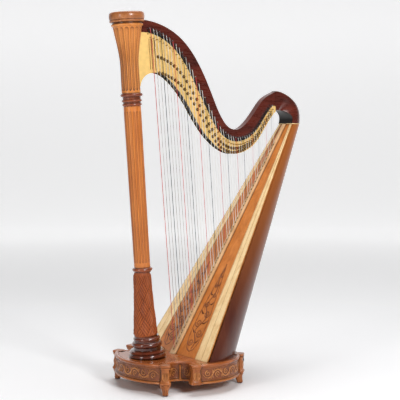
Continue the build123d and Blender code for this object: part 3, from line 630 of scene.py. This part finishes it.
def make_pedestal():
    """The tapering pedestal, carved as a basket of flat bands that cross on the slant."""
    low, high = PEDESTAL_LOW, PEDESTAL_HIGH
    bands_around = 6
    band_rise = 0.092
    reeds = 4
    arch_height = 0.0022
    reed_height = 0.0032
    ground_depth = 0.0016
    profile = curve_through([(0.0585, low), (0.0530, 0.189), (0.0462, 0.292), (0.0408, high)], 110)

    def weave(angle, height):
        edge = smooth_step(low, low + 0.012, height) * smooth_step(high, high - 0.020, height)
        around = angle / (2 * math.pi) * bands_around
        up = (height - low) / band_rise
        rising = around + up
        falling = around - up
        across, along = rising % 1.0, falling % 1.0
        if (math.floor(rising) + math.floor(falling)) % 2 == 0:
            across, along = along, across
        arch = math.sin(math.pi * along) ** 0.5
        reed = abs(math.sin(math.pi * reeds * across))
        return edge * (arch_height * arch + reed_height * reed) - ground_depth

    turned_piece("pedestal", WOOD_PEDESTAL, ["column_pedestal"], profile, 384, weave)


# ---------- base
class Wall:
    """One bowed side of the base plan, from one corner to the next through a middle point."""

    def __init__(self, start, through, end):
        (ax, ay), (bx, by), (cx, cy) = start, through, end
        d = 2 * (ax * (by - cy) + bx * (cy - ay) + cx * (ay - by))
        a2, b2, c2 = ax * ax + ay * ay, bx * bx + by * by, cx * cx + cy * cy
        self.centre = Vector(((a2 * (by - cy) + b2 * (cy - ay) + c2 * (ay - by)) / d,
                              (a2 * (cx - bx) + b2 * (ax - cx) + c2 * (bx - ax)) / d))
        self.radius = (Vector(start) - self.centre).length
        angles = [math.atan2(y - self.centre.y, x - self.centre.x) for x, y in (start, through, end)]
        turn = (angles[1] - angles[0] + math.pi) % (2 * math.pi) - math.pi
        rest = (angles[2] - angles[1] + math.pi) % (2 * math.pi) - math.pi
        self.first = angles[0]
        self.sweep = turn + rest
        self.length = abs(self.sweep) * self.radius
        self.hollow = self.sweep > 0

    def place(self, run, height, out=0.0):
        """A point a distance along the wall, at a height, standing out from the wall."""
        angle = self.first + self.sweep * run / self.length
        radial = Vector((math.cos(angle), math.sin(angle)))
        sign = -1 if self.hollow else 1
        flat = self.centre + radial * (self.radius + sign * out)
        return Vector((flat.x, flat.y, height))

    def outward(self, run):
        """The level direction away from the base at a distance along the wall."""
        return (self.place(run, 0, 0.01) - self.place(run, 0)).normalized()


def mirrored(point):
    """A corner of the plan on the other side of the harp."""
    return (point[0], -point[1])


def base_walls():
    """The six sides of the base, the strings' side first."""
    near = [mirrored(p) for p in (FRONT_CORNER, WAIST, LOBE_CORNER, LOBE_SIDE, REAR_CORNER)]
    far = [FRONT_CORNER, WAIST, LOBE_CORNER, LOBE_SIDE, REAR_CORNER]
    return {
        "front": Wall(near[0], (FRONT_X, 0.0), far[0]),
        "waist_far": Wall(far[0], far[1], far[2]),
        "lobe_far": Wall(far[2], far[3], far[4]),
        "back": Wall(far[4], (REAR_X, 0.0), near[4]),
        "lobe_near": Wall(near[4], near[3], near[2]),
        "waist_near": Wall(near[2], near[1], near[0]),
    }


def moulding(form, wall, profile, start, end):
    """A moulding along part of a wall. profile is a closed loop of (out, height) pairs."""
    count = max(2, int((end - start) / 0.008))
    rows = []
    for i in range(count + 1):
        run = between(start, end, i / count)
        rows.append([wall.place(run, height, out) for out, height in profile])
    form.skin(rows)


def half_round(height, reach, half):
    """A closed profile: flat behind the wall's face and round outside."""
    behind = -0.002
    arc = round_edge(0.0, height, reach, half, 18)
    return [(behind, height + half)] + arc[::-1] + [(behind, height - half)]


def outline_rows(walls, profile):
    """Rows round the whole base, one per place on the outline, with mitred corners."""
    rows = []
    names = list(walls)
    for index, name in enumerate(names):
        wall = walls[name]
        before = walls[names[index - 1]]
        count = int(wall.length / 0.010)
        for i in range(count):
            run = wall.length * i / count
            out = wall.outward(run)
            if i == 0:
                joint = (out + before.outward(before.length)).normalized()
                out = joint / max(0.45, joint.dot(out))
            spot = wall.place(run, 0)
            rows.append([Vector((spot.x + out.x * reach, spot.y + out.y * reach, height))
                         for reach, height in profile])
    return rows


def closed_skin(walls, profile):
    """A solid between the first and last loops of a profile carried round the base."""
    form = Form()
    rows = outline_rows(walls, profile)
    form.grid(rows, loop=True)
    count = len(profile)
    form.faces.append(tuple(i * count for i in range(len(rows))))
    form.faces.append(tuple(i * count + count - 1 for i in reversed(range(len(rows)))))
    return form


def make_base_boards(walls):
    """The top board with its raised rim and cove, and the plinth board."""
    top = [(-0.0300, 0.1500), (-0.0142, 0.1500), (-0.0132, 0.1488), (-0.0118, 0.1488),
           (-0.0106, 0.1502), (-0.0080, 0.1520), (-0.0035, 0.1532), (0.0020, 0.1530),
           (0.0060, 0.1514), (0.0080, 0.1484), (0.0078, 0.1450), (0.0058, 0.1424), (0.0040, 0.1418),
           (0.0038, 0.1404), (0.0022, 0.1380), (0.0012, 0.1352), (0.0008, 0.1330), (0.0004, 0.1280)]
    plinth = [(0.0004, 0.0692), (0.0020, 0.0690), (0.0044, 0.0672), (0.0046, 0.0660), (0.0066, 0.0650),
              (0.0078, 0.0620), (0.0070, 0.0588), (0.0046, 0.0566), (0.0010, 0.0556), (-0.0200, 0.0552)]
    closed_skin(walls, top).make("top_board", WOOD_TOP, replaces=["base_top"])
    closed_skin(walls, plinth).make("plinth_board", WOOD_TRIM, replaces=["base_floor"])


def panel_frame(form, wall, start, end):
    """A thin raised frame round one carved panel."""
    bar = 0.0018
    lift = 0.0030
    for height in (PANEL_LOW, PANEL_HIGH):
        moulding(form, wall, half_round(height, lift, bar), start, end)
    for run in (start, end):
        path = [wall.place(run, between(PANEL_LOW, PANEL_HIGH, i / 6), 0.0006) for i in range(7)]
        form.tube(path, [bar] * 7)


def scroll(wall, run, height, size, way):
    """One spiral stem on a wall: path, thickness and outward directions."""
    steps = 39
    points = spiral(size, 0.86, 1.5, -way * math.pi / 2, way, steps)
    path = [wall.place(run + x, height + y, CARVING_LIFT) for x, y in points]
    radii = [0.0027 * (1 - 0.35 * i / steps) for i in range(steps + 1)]
    lifts = [wall.outward(run + x) for x, y in points]
    return path, radii, lifts


def stroke(wall, points, thick, tail=0.25):
    """A curved leaf or stem through (run, height) points. tail is the least share of its thickness."""
    run_points = curve_through(points, 7)
    path = [wall.place(run, height, 0.0015) for run, height in run_points]
    lifts = [wall.outward(run) for run, height in run_points]
    radii = []
    for i in range(len(path)):
        swell = math.sin(math.pi * min(1.0, (i + 1.5) / (len(path) + 2))) ** 0.7
        radii.append(thick * max(tail, swell))
    return path, radii, lifts


def carve_vine(form, wall, start, end):
    """A running vine with a scroll in each wave and pointed leaves between them."""
    centre = (PANEL_LOW + PANEL_HIGH) / 2
    tall = (PANEL_HIGH - PANEL_LOW) / 2 - PANEL_INSET
    waves = max(1, round((end - start) / WAVE_LENGTH))
    start, end = start + PANEL_INSET, end - PANEL_INSET
    pitch = (end - start) / waves
    swing = tall * 0.70
    stem = [(start + pitch * i / 8, centre + swing * math.sin(math.pi * i / 8))
            for i in range(waves * 8 + 1)]
    parts = [stroke(wall, stem, 0.0030, 0.6)]
    for wave in range(waves):
        way = 1 if wave % 2 == 0 else -1
        run = start + pitch * (wave + 0.5)
        parts.append(scroll(wall, run, centre - way * tall * 0.12, tall * 0.56, way))
        if wave < waves - 1:
            parts += vine_leaves(wall, (start + pitch * (wave + 1.0), centre), pitch, way * tall)
    for path, radii, lifts in parts:
        form.tube(path, radii, 6, 0.75, lifts)


def vine_leaves(wall, knot, pitch, tall):
    """Three leaves up and three down from the place where the stem crosses the middle."""
    leaves = []
    for lean, reach, thick in ((-0.52, 0.90, 0.0021), (-0.24, 0.98, 0.0021), (0.08, 0.84, 0.0018)):
        for side in (1, -1):
            tip = (knot[0] + side * pitch * lean, knot[1] + side * tall * reach)
            bend = (between(knot[0], tip[0], 0.35), knot[1] + side * tall * reach * 0.62)
            leaves.append(stroke(wall, [knot, bend, tip], thick))
    return leaves


def make_friezes(walls):
    """Carved panels on the front, waist and lobe sides: frame, ground darkened as painted shade, and vine
    lightened as a painted highlight.
    """
    frames = Form()
    grounds = Form()
    vines = Form()
    ground = [(0.0006, PANEL_LOW), (0.0006, PANEL_HIGH), (-0.001, PANEL_HIGH), (-0.001, PANEL_LOW)]
    for name, wall in walls.items():
        if name == "back":
            continue
        runs = [(PANEL_MARGIN, wall.length - PANEL_MARGIN)]
        if name.startswith("waist"):
            runs = [(PANEL_MARGIN, wall.length / 2 - BEAD_CLEARANCE),
                    (wall.length / 2 + BEAD_CLEARANCE, wall.length - PANEL_MARGIN)]
        for start, end in runs:
            panel_frame(frames, wall, start, end)
            moulding(grounds, wall, ground, start, end)
            carve_vine(vines, wall, start, end)
    frames.make("panel_frames", WOOD_TRIM)
    grounds.make("panel_grounds", WOOD_GROUND_SHADED, smooth=False)
    vines.make("carved_vines", WOOD_CARVING_LIT)


def make_waist_beads(walls):
    """An upright round bead in the middle of each scooped side."""
    form = Form()
    for name in ("waist_near", "waist_far"):
        wall = walls[name]
        run = wall.length / 2
        path = [wall.place(run, between(0.066, 0.139, i / 24), 0.002) for i in range(25)]
        radii = [0.0056 + 0.0022 * smooth_step(0.72, 1.0, abs(i / 12 - 1)) for i in range(25)]
        form.tube(path, radii, 12)
    form.make("waist_beads", WOOD_TRIM)


class Corner:
    """A corner of the base with its console: place, outward and sideways directions and size."""

    def __init__(self, place, degrees, size, taper, push, reach):
        angle = math.radians(degrees)
        self.place = place
        self.out = Vector((math.cos(angle), math.copysign(math.sin(angle), place[1]), 0))
        self.side = Vector((-self.out.y, self.out.x, 0))
        self.size = size
        self.taper = taper
        self.push = push
        self.reach = reach

    def spot(self, height, forward, aside):
        """A point at a height, forward of the console's middle and to the side of it."""
        return Vector((*self.place, height)) + self.out * (self.push + forward) + self.side * aside

    def block(self, form, levels):
        """Level sections with rounded corners. levels are (height, share of the size) pairs."""
        rows = []
        for height, share in levels:
            scaled = self.size * share
            corners = [squared(angle, 0.4) for angle in round_angles(28)]
            rows.append([self.spot(height, x * scaled, y * scaled) for x, y in corners])
        form.skin(rows)


def console(form, corner):
    """An upright bracket at a corner: banded at both ends and narrower under its cap."""
    taper = corner.taper
    corner.block(form, [
        (0.0555, 1.16), (0.0590, 1.30), (0.0660, 1.30), (0.0690, 1.16), (0.0720, 1.10),
        (0.0860, between(1.0, taper, 0.45)), (0.1040, between(1.0, taper, 0.80)), (0.1250, taper),
        (0.1290, taper + 0.04), (0.1310, taper + 0.16), (0.1350, taper + 0.20),
        (0.1385, taper + 0.24)])


def corner_block(form, corner):
    """The square break in the top board over a console."""
    corner.block(form, [(0.1385, 1.08), (0.1405, 1.16), (0.1440, 1.24), (0.1495, 1.26),
                        (0.1522, 1.19), (0.1531, 1.06), (0.1532, 0.80)])


def console_face(form, corner):
    """A raised leaf that opens upwards on the outer face of a console."""
    leaf_low = 0.0745
    leaf_height = 0.047
    for lean in (-0.66, -0.36, 0.0, 0.36, 0.66):
        path = []
        radii = []
        for i in range(11):
            share = i / 10
            forward = between(1.02, corner.taper, share) * corner.size
            aside = corner.size * lean * math.sin(math.pi * (0.12 + 0.62 * share))
            height = leaf_low + leaf_height * share * (1 - 0.2 * abs(lean))
            path.append(corner.spot(height, forward, aside))
            radii.append(0.0034 * math.sin(math.pi * (0.10 + 0.86 * share)) + 0.0004)
        form.tube(path, radii, 6, 0.9, [corner.out] * 11)


def claw_foot(form, corner):
    """A carved foot: a swelling knee that narrows to knuckled toes on the floor."""
    behind = -0.002
    levels = [(0.0570, 0.000, 0.0285), (0.0530, 0.001, 0.0290), (0.0470, 0.003, 0.0262),
              (0.0400, 0.006, 0.0222), (0.0320, 0.010, 0.0180), (0.0240, 0.014, 0.0154),
              (0.0160, 0.018, 0.0146), (0.0090, 0.021, 0.0148), (0.0040, 0.022, 0.0134),
              (0.0002, 0.022, 0.0100)]
    foot_height = levels[0][0]
    rows = []
    for height, lead, radius in levels:
        toes = 0.10 + 0.22 * smooth_step(0.45, 0.95, 1 - height / foot_height)
        row = []
        for angle in round_angles(48):
            lobed = radius * (1 + toes * (abs(math.cos(3 * angle)) - 0.6))
            forward = behind + lead * corner.reach + lobed * math.cos(angle)
            row.append(corner.spot(height, forward, lobed * math.sin(angle)))
        rows.append(row)
    form.skin(rows)
    for lean in (-0.5, 0.0, 0.5):
        path = []
        for height, lead, radius in levels[1:-2]:
            forward = behind + lead * corner.reach + radius * 0.96 * math.cos(lean)
            path.append(corner.spot(height, forward, radius * 0.96 * math.sin(lean)))
        knuckles = [0.0034 + 0.0010 * math.sin(i * 2.1) for i in range(len(path))]
        form.tube(path, knuckles, 8, 0.9, [corner.out] * len(path))


def make_corners():
    """The consoles, their carved leaves, the corner blocks of the top board and the feet."""
    consoles = Form()
    leaves = Form()
    blocks = Form()
    feet = Form()
    for far_corner, *sizes in CONSOLES:
        for place in (far_corner, mirrored(far_corner)):
            corner = Corner(place, *sizes)
            console(consoles, corner)
            console_face(leaves, corner)
            corner_block(blocks, corner)
            if corner.reach > 0:
                claw_foot(feet, corner)
    consoles.make("consoles", WOOD_CONSOLE, replaces=["base_consoles"])
    # The raised leaves take the lighter wood, a painted highlight.
    leaves.make("console_leaves", WOOD_CARVING_LIT)
    blocks.make("corner_blocks", WOOD_RIM)
    feet.make("claw_feet", WOOD_CONSOLE, replaces=["base_feet"])


# ---------- soundboard
def board_point(across, up, lift, far):
    """A point on the front of the soundboard: across from the middle, up from the base."""
    direction = BOARD_UP
    front = Vector((0, -1, 0)).cross(direction)
    fall = math.radians(BOARD_FALL)
    sideways = Vector((0, -1, 0)) * math.cos(fall) - front * math.sin(fall)
    normal = sideways.cross(direction)
    point = BOARD_FOOT - front * BOARD_SET_BACK + sideways * across + direction * up + normal * lift
    if far:
        point.y = -point.y
    return point


def board_half_width(up):
    """Half the board's width at a distance up it."""
    return between(BOARD_HALF_BOTTOM, BOARD_HALF_TOP, up / BOARD_LENGTH)


def strip_share(up):
    """Width of the pale strip as a share of the board's half width."""
    return between(*STRIP_SHARE, up / BOARD_LENGTH)


def flat_ribbon(form, points, widths, lift, far):
    """A thin raised ribbon on the board through (across, up) points."""
    rows = []
    for i, (across, up) in enumerate(points):
        run = heading(points, i)
        aside = (-run.y * widths[i], run.x * widths[i])
        row = []
        for sign, height in ((-1, -0.0004), (-0.7, lift), (0.7, lift), (1, -0.0004)):
            row.append(board_point(across + sign * aside[0], up + sign * aside[1], height, far))
        rows.append(row)
    form.skin(rows)


def make_board_lines():
    """Fine dark lines along the pale strips and beside them."""
    form = Form()
    for far in (False, True):
        for part, width in ((0.985, 0.0010), (0.50, 0.0008), (0.02, 0.0010)):
            ups = [between(0.004, BOARD_LENGTH - 0.004, i / 30) for i in range(31)]
            points = [(board_half_width(up) * (1 - part * strip_share(up)), up) for up in ups]
            flat_ribbon(form, points, [width] * 31, LINE_LIFT, far)
    form.make("board_lines", INLAY_DARK)


def ornament_spot(across, share):
    """A point on the board, from a distance beside the ornament's middle line and a share up it."""
    axis = Vector(ORNAMENT_HIGH) - Vector(ORNAMENT_LOW)
    along = axis.normalized()
    return tuple(Vector(ORNAMENT_LOW) + axis * share + Vector((along.y, -along.x)) * across)


def ornament_half(share):
    """Half the ornament's width at a share of its length, widest low down."""
    return ORNAMENT_HALF * math.sin(math.pi * min(1.0, share) ** 0.55) ** 0.9 * (1 - 0.35 * share)


def ornament_outline(form, far):
    """The two edges of the ornament and the stem that winds between them."""
    for sign in (-1, 1):
        rim = [ornament_spot(sign * ornament_half(i / 40), i / 40) for i in range(41)]
        widths = [0.0030 + 0.0016 * math.sin(i * 1.9) for i in range(41)]
        flat_ribbon(form, rim, widths, LEAF_LIFT, far)
    stem = []
    for i in range(2, 60):
        share = i / 60
        swing = 0.42 * math.sin(share * math.pi * 6.5)
        stem.append(ornament_spot(ornament_half(share) * swing, share))
    flat_ribbon(form, stem, [0.0044] * len(stem), STEM_LIFT, far)


def ornament_spiral(form, share, way, far):
    """A spiral beside the stem, at a share of the ornament's length."""
    half = ornament_half(share)
    across, up = ornament_spot(-way * half * 0.40, share)
    axis = Vector(ORNAMENT_HIGH) - Vector(ORNAMENT_LOW)
    first = math.atan2(axis.y, axis.x) + math.pi * 0.5 * way
    points = spiral(half * 0.48, 0.85, 1.6, first, way, 38)
    widths = [0.0046 * (1 - 0.4 * i / len(points)) for i in range(len(points))]
    flat_ribbon(form, [(across + x, up + y) for x, y in points], widths, STEM_LIFT, far)


def ornament_leaves(form, share, way, far):
    """Three leaves on the other side of the stem."""
    half = ornament_half(share)
    bow = 0.004
    axis = (Vector(ORNAMENT_HIGH) - Vector(ORNAMENT_LOW)).normalized()
    for reach in (0.35, 0.75, 1.15):
        start = ornament_spot(way * half * 0.18, share)
        tip = ornament_spot(way * half * (0.55 + 0.28 * reach), share + 0.035 * reach)
        bend = ((start[0] + tip[0]) / 2 + axis.y * way * bow, (start[1] + tip[1]) / 2 - bow * reach)
        leaf = curve_through([start, bend, tip], 5)
        widths = [0.0050 * math.sin(math.pi * (0.1 + 0.85 * i / len(leaf))) + 0.0003
                  for i in range(len(leaf))]
        flat_ribbon(form, leaf, widths, LEAF_LIFT, far)


def make_board_ornament():
    """A long leaf-shaped scroll on each half of the board."""
    form = Form()
    for far in (False, True):
        ornament_outline(form, far)
        for number in range(8):
            share = 0.10 + 0.108 * number
            way = 1 if number % 2 == 0 else -1
            ornament_spiral(form, share, way, far)
            ornament_leaves(form, share, way, far)
    form.make("board_ornament", INLAY_BROWN)


# ---------- neck and action
def plate_edge():
    """The upper edge of the near plate at each tuning pin."""
    return [(middle(box).x, middle(box).z - PIN_ABOVE_EDGE) for box in solids_of("tuning_pins")]


def make_neck_ledge():
    """The rebate between the plate and the row of tuning pins, coloured black as painted shade in that gap.
    """
    form = Form()
    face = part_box("neck")[0].y
    edge = curve_through(plate_edge(), 4)
    deep = Vector((0, 0.001, 0))
    proud = Vector((0, -0.0018, 0))
    rows = []
    for i, (x, z) in enumerate(edge):
        run = heading(edge, i)
        up = Vector((-run.y, 0, run.x))
        spot = Vector((x, face, z))
        rows.append([spot + up * 0.0004 + deep, spot + up * 0.0004 + proud,
                     spot + up * (LEDGE_WIDTH - 0.0015) + proud, spot + up * LEDGE_WIDTH + deep])
    form.skin(rows)
    form.make("neck_ledge", SHADE_BLACK)


def upright_circle(centre, radius, y, sides):
    """Points on a circle in the harp's plane, about an (x, z) centre."""
    return [Vector((centre[0] + radius * math.cos(angle), y, centre[1] + radius * math.sin(angle)))
            for angle in round_angles(sides)]


def ring(form, centre, outer, inner, near_y, far_y):
    """A flat ring in the harp's plane between two y positions."""
    corners = ((inner, far_y), (inner, near_y), (outer, near_y), (outer, far_y))
    form.grid([upright_circle(centre, radius, y, 20) for radius, y in corners], around=True, loop=True)


def disc_centres():
    """Centre and radius of every disc on the near plate."""
    boxes = solids_of("fixed_discs")
    boxes += [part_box(name) for name in sorted(NODES) if "_disc_" in name]
    return [((middle(box).x, middle(box).z), (box[1].x - box[0].x) / 2) for box in boxes]


def make_disc_rings():
    """Black rings behind the discs, painted shade round each disc on the plate."""
    form = Form()
    for centre, radius in disc_centres():
        ring(form, centre, radius + 0.0016, radius * 0.5, PLATE_FACE - 0.0004, PLATE_FACE + 0.0006)
    form.make("disc_shade_rings", SHADE_BLACK)


def make_disc_caps():
    """A small bright boss on each fixed disc's axle."""
    form = Form()
    face = PLATE_FACE - DISC_THICK
    profile = ((0.0022, -0.0002), (0.0022, 0.0006), (0.0014, 0.0012), (0.0004, 0.0014))
    for box in solids_of("fixed_discs"):
        centre = (middle(box).x, middle(box).z)
        form.skin([upright_circle(centre, radius, face - lift, 12) for radius, lift in profile])
    form.make("disc_bosses", BRASS)


def stain_and_shade(name, material, chosen):
    """Gives a second material to the chosen faces of a CAD node: a real stain on the column's rings, and
    black painted shade under the neck.
    """
    mesh = NODES[name].data
    mesh.materials.append(material)
    for polygon in mesh.polygons:
        if chosen(polygon):
            polygon.material_index = 1


def faces_down(polygon):
    """Whether a face of the neck is on its underside."""
    return polygon.normal.z < -0.02 and abs(polygon.normal.y) < 0.3


def in_knee_hollow(polygon):
    """Whether a face of the knee looks towards the strings."""
    return polygon.normal.x < -0.3 and abs(polygon.normal.y) < 0.5 and polygon.normal.z < 0.6


def paint_shade_underneath():
    """Painted shade: the underside of the neck, the hollow of the knee and the far plate's inner face are
    coloured black for the shade that falls there.
    """
    stain_and_shade("neck", SHADE_BLACK, faces_down)
    stain_and_shade("right_action_plate", SHADE_BLACK, lambda polygon: polygon.normal.y < -0.5)
    stain_and_shade("knee_block", SHADE_BLACK, in_knee_hollow)


def darken_rings():
    """The rings below and above the shaft's flutes are stained darker than the shaft."""
    foot, along = column_axis()

    def on_rings(polygon):
        height = (polygon.center - foot).dot(along)
        return height < LOWER_RING_END or height > UPPER_RINGS_START

    stain_and_shade("column_shaft", WOOD_RINGS, on_rings)


def make_links():
    """The link arms between the plates, seen from below as pale bars on the black painted shade of the
    underside.
    """
    inset = 0.006
    drop = 0.0025
    lead = 0.014
    neck = NODES["neck"].data
    low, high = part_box("neck")
    spots = {}
    for polygon in neck.polygons:
        if faces_down(polygon):
            for index in polygon.vertices:
                point = neck.vertices[index].co
                cell = round(point.x / LINK_PITCH)
                if cell not in spots or point.z < spots[cell].z:
                    spots[cell] = point.copy()
    form = Form()
    ordered = [spots[cell] for cell in sorted(spots)]
    for here, there in zip(ordered, ordered[1:]):
        run = there - here
        run.y = 0
        if run.length < 0.004:
            continue
        below = Vector((run.z, 0, -run.x)).normalized() * drop
        if below.z > 0:
            below = -below
        start = Vector((here.x, low.y + inset, here.z)) + below
        end = Vector((here.x, high.y - inset, here.z)) + below + run.normalized() * lead
        form.tube([start.lerp(end, i / 4) for i in range(5)], [0.0014] * 5)
    form.make("link_arms", BRASS_PALE)


def make_bass_hooks():
    """The two long string guides beside the lowest strings, which have no discs."""
    form = Form()
    for pin in solids_of("bridge_pins")[:2]:
        x, z = middle(pin).x, middle(pin).z
        for aside in (-0.006, 0.006):
            start = Vector((x + aside, PLATE_FACE - 0.0022, z - 0.008))
            path = [start + Vector((0.010, 0, -0.150)) * (i / 12) for i in range(13)]
            form.tube(path, [0.0013] * 13)
    form.make("bass_guides", BRASS_DARK_AND_REFLECTION)


# ---------- pedals
def pedal_sleeve(rear, curl):
    """A ribbed sleeve over the curl of one pedal tip, given as (forward, lift) points."""
    ribs = 7
    half_wide = 0.0125
    half_thick = 0.0062
    rows = []
    for i, (forward, lift) in enumerate(curl):
        share = i / (len(curl) - 1)
        run = heading(curl, i)
        thick_way = Vector((-run.y, 0, run.x))
        centre = rear + Vector((forward, 0, lift))
        swell = 1 + 0.10 * math.cos(share * 2 * math.pi * ribs)
        ends = smooth_step(-0.02, 0.06, share) * smooth_step(1.02, 0.94, share)
        wide = half_wide * swell * (0.5 + 0.5 * ends)
        thick = half_thick * swell * (0.4 + 0.6 * ends)
        row = []
        for angle in round_angles(20):
            across, up = squared(angle, 0.6)
            row.append(centre + Vector((0, across * wide, 0)) + thick_way * (up * thick))
        rows.append(row)
    form = Form()
    form.skin(rows)
    return form


def make_pedal_tips():
    """Black ribbed rubber sleeves on the curled pedal tips."""
    curl = curve_through([(0.004, 0.004), (0.012, 0.0085), (0.022, 0.0065), (0.0285, -0.004),
                          (0.0275, -0.018), (0.0205, -0.0285)], 8)
    for name in sorted(NODES):
        if not name.startswith("pedal_") or len(name) != len("pedal_a"):
            continue
        low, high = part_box(name)
        outer = high.y if abs(high.y) > abs(low.y) else low.y
        y = outer - math.copysign(SLEEVE_WIDTH / 2, outer)
        rear = Vector((high.x - 0.0322, y, high.z - 0.0145))
        pedal_sleeve(rear, curl).make(name + "_sleeve", RUBBER, body=name)


# ---------- neck edges
def soften_neck():
    """A rounded arris along the neck that catches the light."""
    for name in ("neck", "knee_block", "shoulder_trim"):
        bevel = NODES[name].modifiers.new("arris", "BEVEL")
        bevel.width = 0.0028 if name == "neck" else 0.0006
        bevel.segments = 3
        bevel.limit_method = "ANGLE"
        bevel.angle_limit = math.radians(50)


# ---------- studio
def studio_paper():
    """Pale paper that glows a little with distance, so that it stays white behind the harp."""
    material, tree, shader = new_material("studio_paper")
    noise = texture(tree, "Noise", None, Scale=2.0)
    ramp_base(tree, shader, noise, [(0.3, (0.86, 0.86, 0.87)), (0.7, (0.88, 0.88, 0.89))])
    settle(shader, {"Roughness": 0.7, "Emission Color": (1.0, 1.0, 1.0, 1.0)})
    place = tree.nodes.new("ShaderNodeTexCoord")
    distance = add_node(tree, "ShaderNodeVectorMath", operation="LENGTH")
    tree.links.new(place.outputs["Object"], distance.inputs[0])
    glow = spread(tree, distance.outputs["Value"], 0.0, FAR_GLOW, *GLOW_RANGE)
    tree.links.new(glow, shader.inputs["Emission Strength"])
    return material


def make_floor():
    """A pale floor that sweeps up into a pale wall."""
    steps = 12
    depth = [(FLOOR_NEAR, 0.0), (FLOOR_REACH, 0.0)]
    for step in range(1, steps + 1):
        angle = math.radians(90 * step / steps)
        depth.append((FLOOR_REACH + SWEEP * math.sin(angle), SWEEP - SWEEP * math.cos(angle)))
    depth.append((FLOOR_REACH + SWEEP, WALL_HEIGHT))
    mesh = bpy.data.meshes.new("studio_floor")
    form = bmesh.new()
    rows = []
    for forward, height in depth:
        rows.append([form.verts.new((side, forward, height)) for side in (-FLOOR_HALF, FLOOR_HALF)])
    for low, high in zip(rows, rows[1:]):
        form.faces.new((low[0], low[1], high[1], high[0]))
    form.to_mesh(mesh)
    form.free()
    mesh.shade_smooth()
    mesh.materials.append(studio_paper())
    floor = place_object("studio_floor", mesh)
    floor.rotation_euler = (0, 0, math.radians(-34.4))


def area_light(name, location, target, size, power):
    """A white rectangular light that points at a place."""
    data = bpy.data.lights.new(name, "AREA")
    data.shape = "RECTANGLE"
    data.size, data.size_y = size
    data.energy = power
    light = place_object(name, data)
    light.location = location
    light.rotation_euler = (Vector(target) - Vector(location)).to_track_quat("-Z", "Y").to_euler()


def make_lights():
    """Soft light from in front, from the left and from above, and a dim white sky."""
    world = bpy.data.worlds.new("studio")
    bpy.context.scene.world = world
    world.use_nodes = True
    background = world.node_tree.nodes["Background"]
    background.inputs["Color"].default_value = (1.0, 1.0, 1.0, 1)
    background.inputs["Strength"].default_value = 0.17
    area_light("key", (-0.6, -5.0, 3.0), (0, 0, 0.9), (1.2, 1.2), 182)
    area_light("side", (-4.8, -1.2, 2.0), (0, 0, 0.9), (0.8, 2.0), 50)
    area_light("top", (0.3, 0.2, 4.6), (0, 0, 0.5), (3.0, 3.0), 140)


def make_camera():
    """The camera that was fitted to the photo."""
    data = bpy.data.cameras.new("camera")
    data.sensor_width = 36.0
    data.lens = LENS
    camera = place_object("camera", data)
    camera.location = CAMERA_PLACE
    camera.rotation_euler = (math.radians(90 - CAMERA_DIP), 0, math.radians(-CAMERA_TURN))
    bpy.context.scene.camera = camera
    bpy.context.scene.view_settings.view_transform = "Standard"


paint_nodes()
paint_shade_underneath()
darken_rings()
soften_neck()
walls = base_walls()
make_capital()
make_cap()
make_pedestal()
make_base_boards(walls)
make_friezes(walls)
make_waist_beads(walls)
make_corners()
make_board_lines()
make_board_ornament()
make_neck_ledge()
make_disc_rings()
make_disc_caps()
make_links()
make_bass_hooks()
make_pedal_tips()
make_floor()
make_lights()
make_camera()
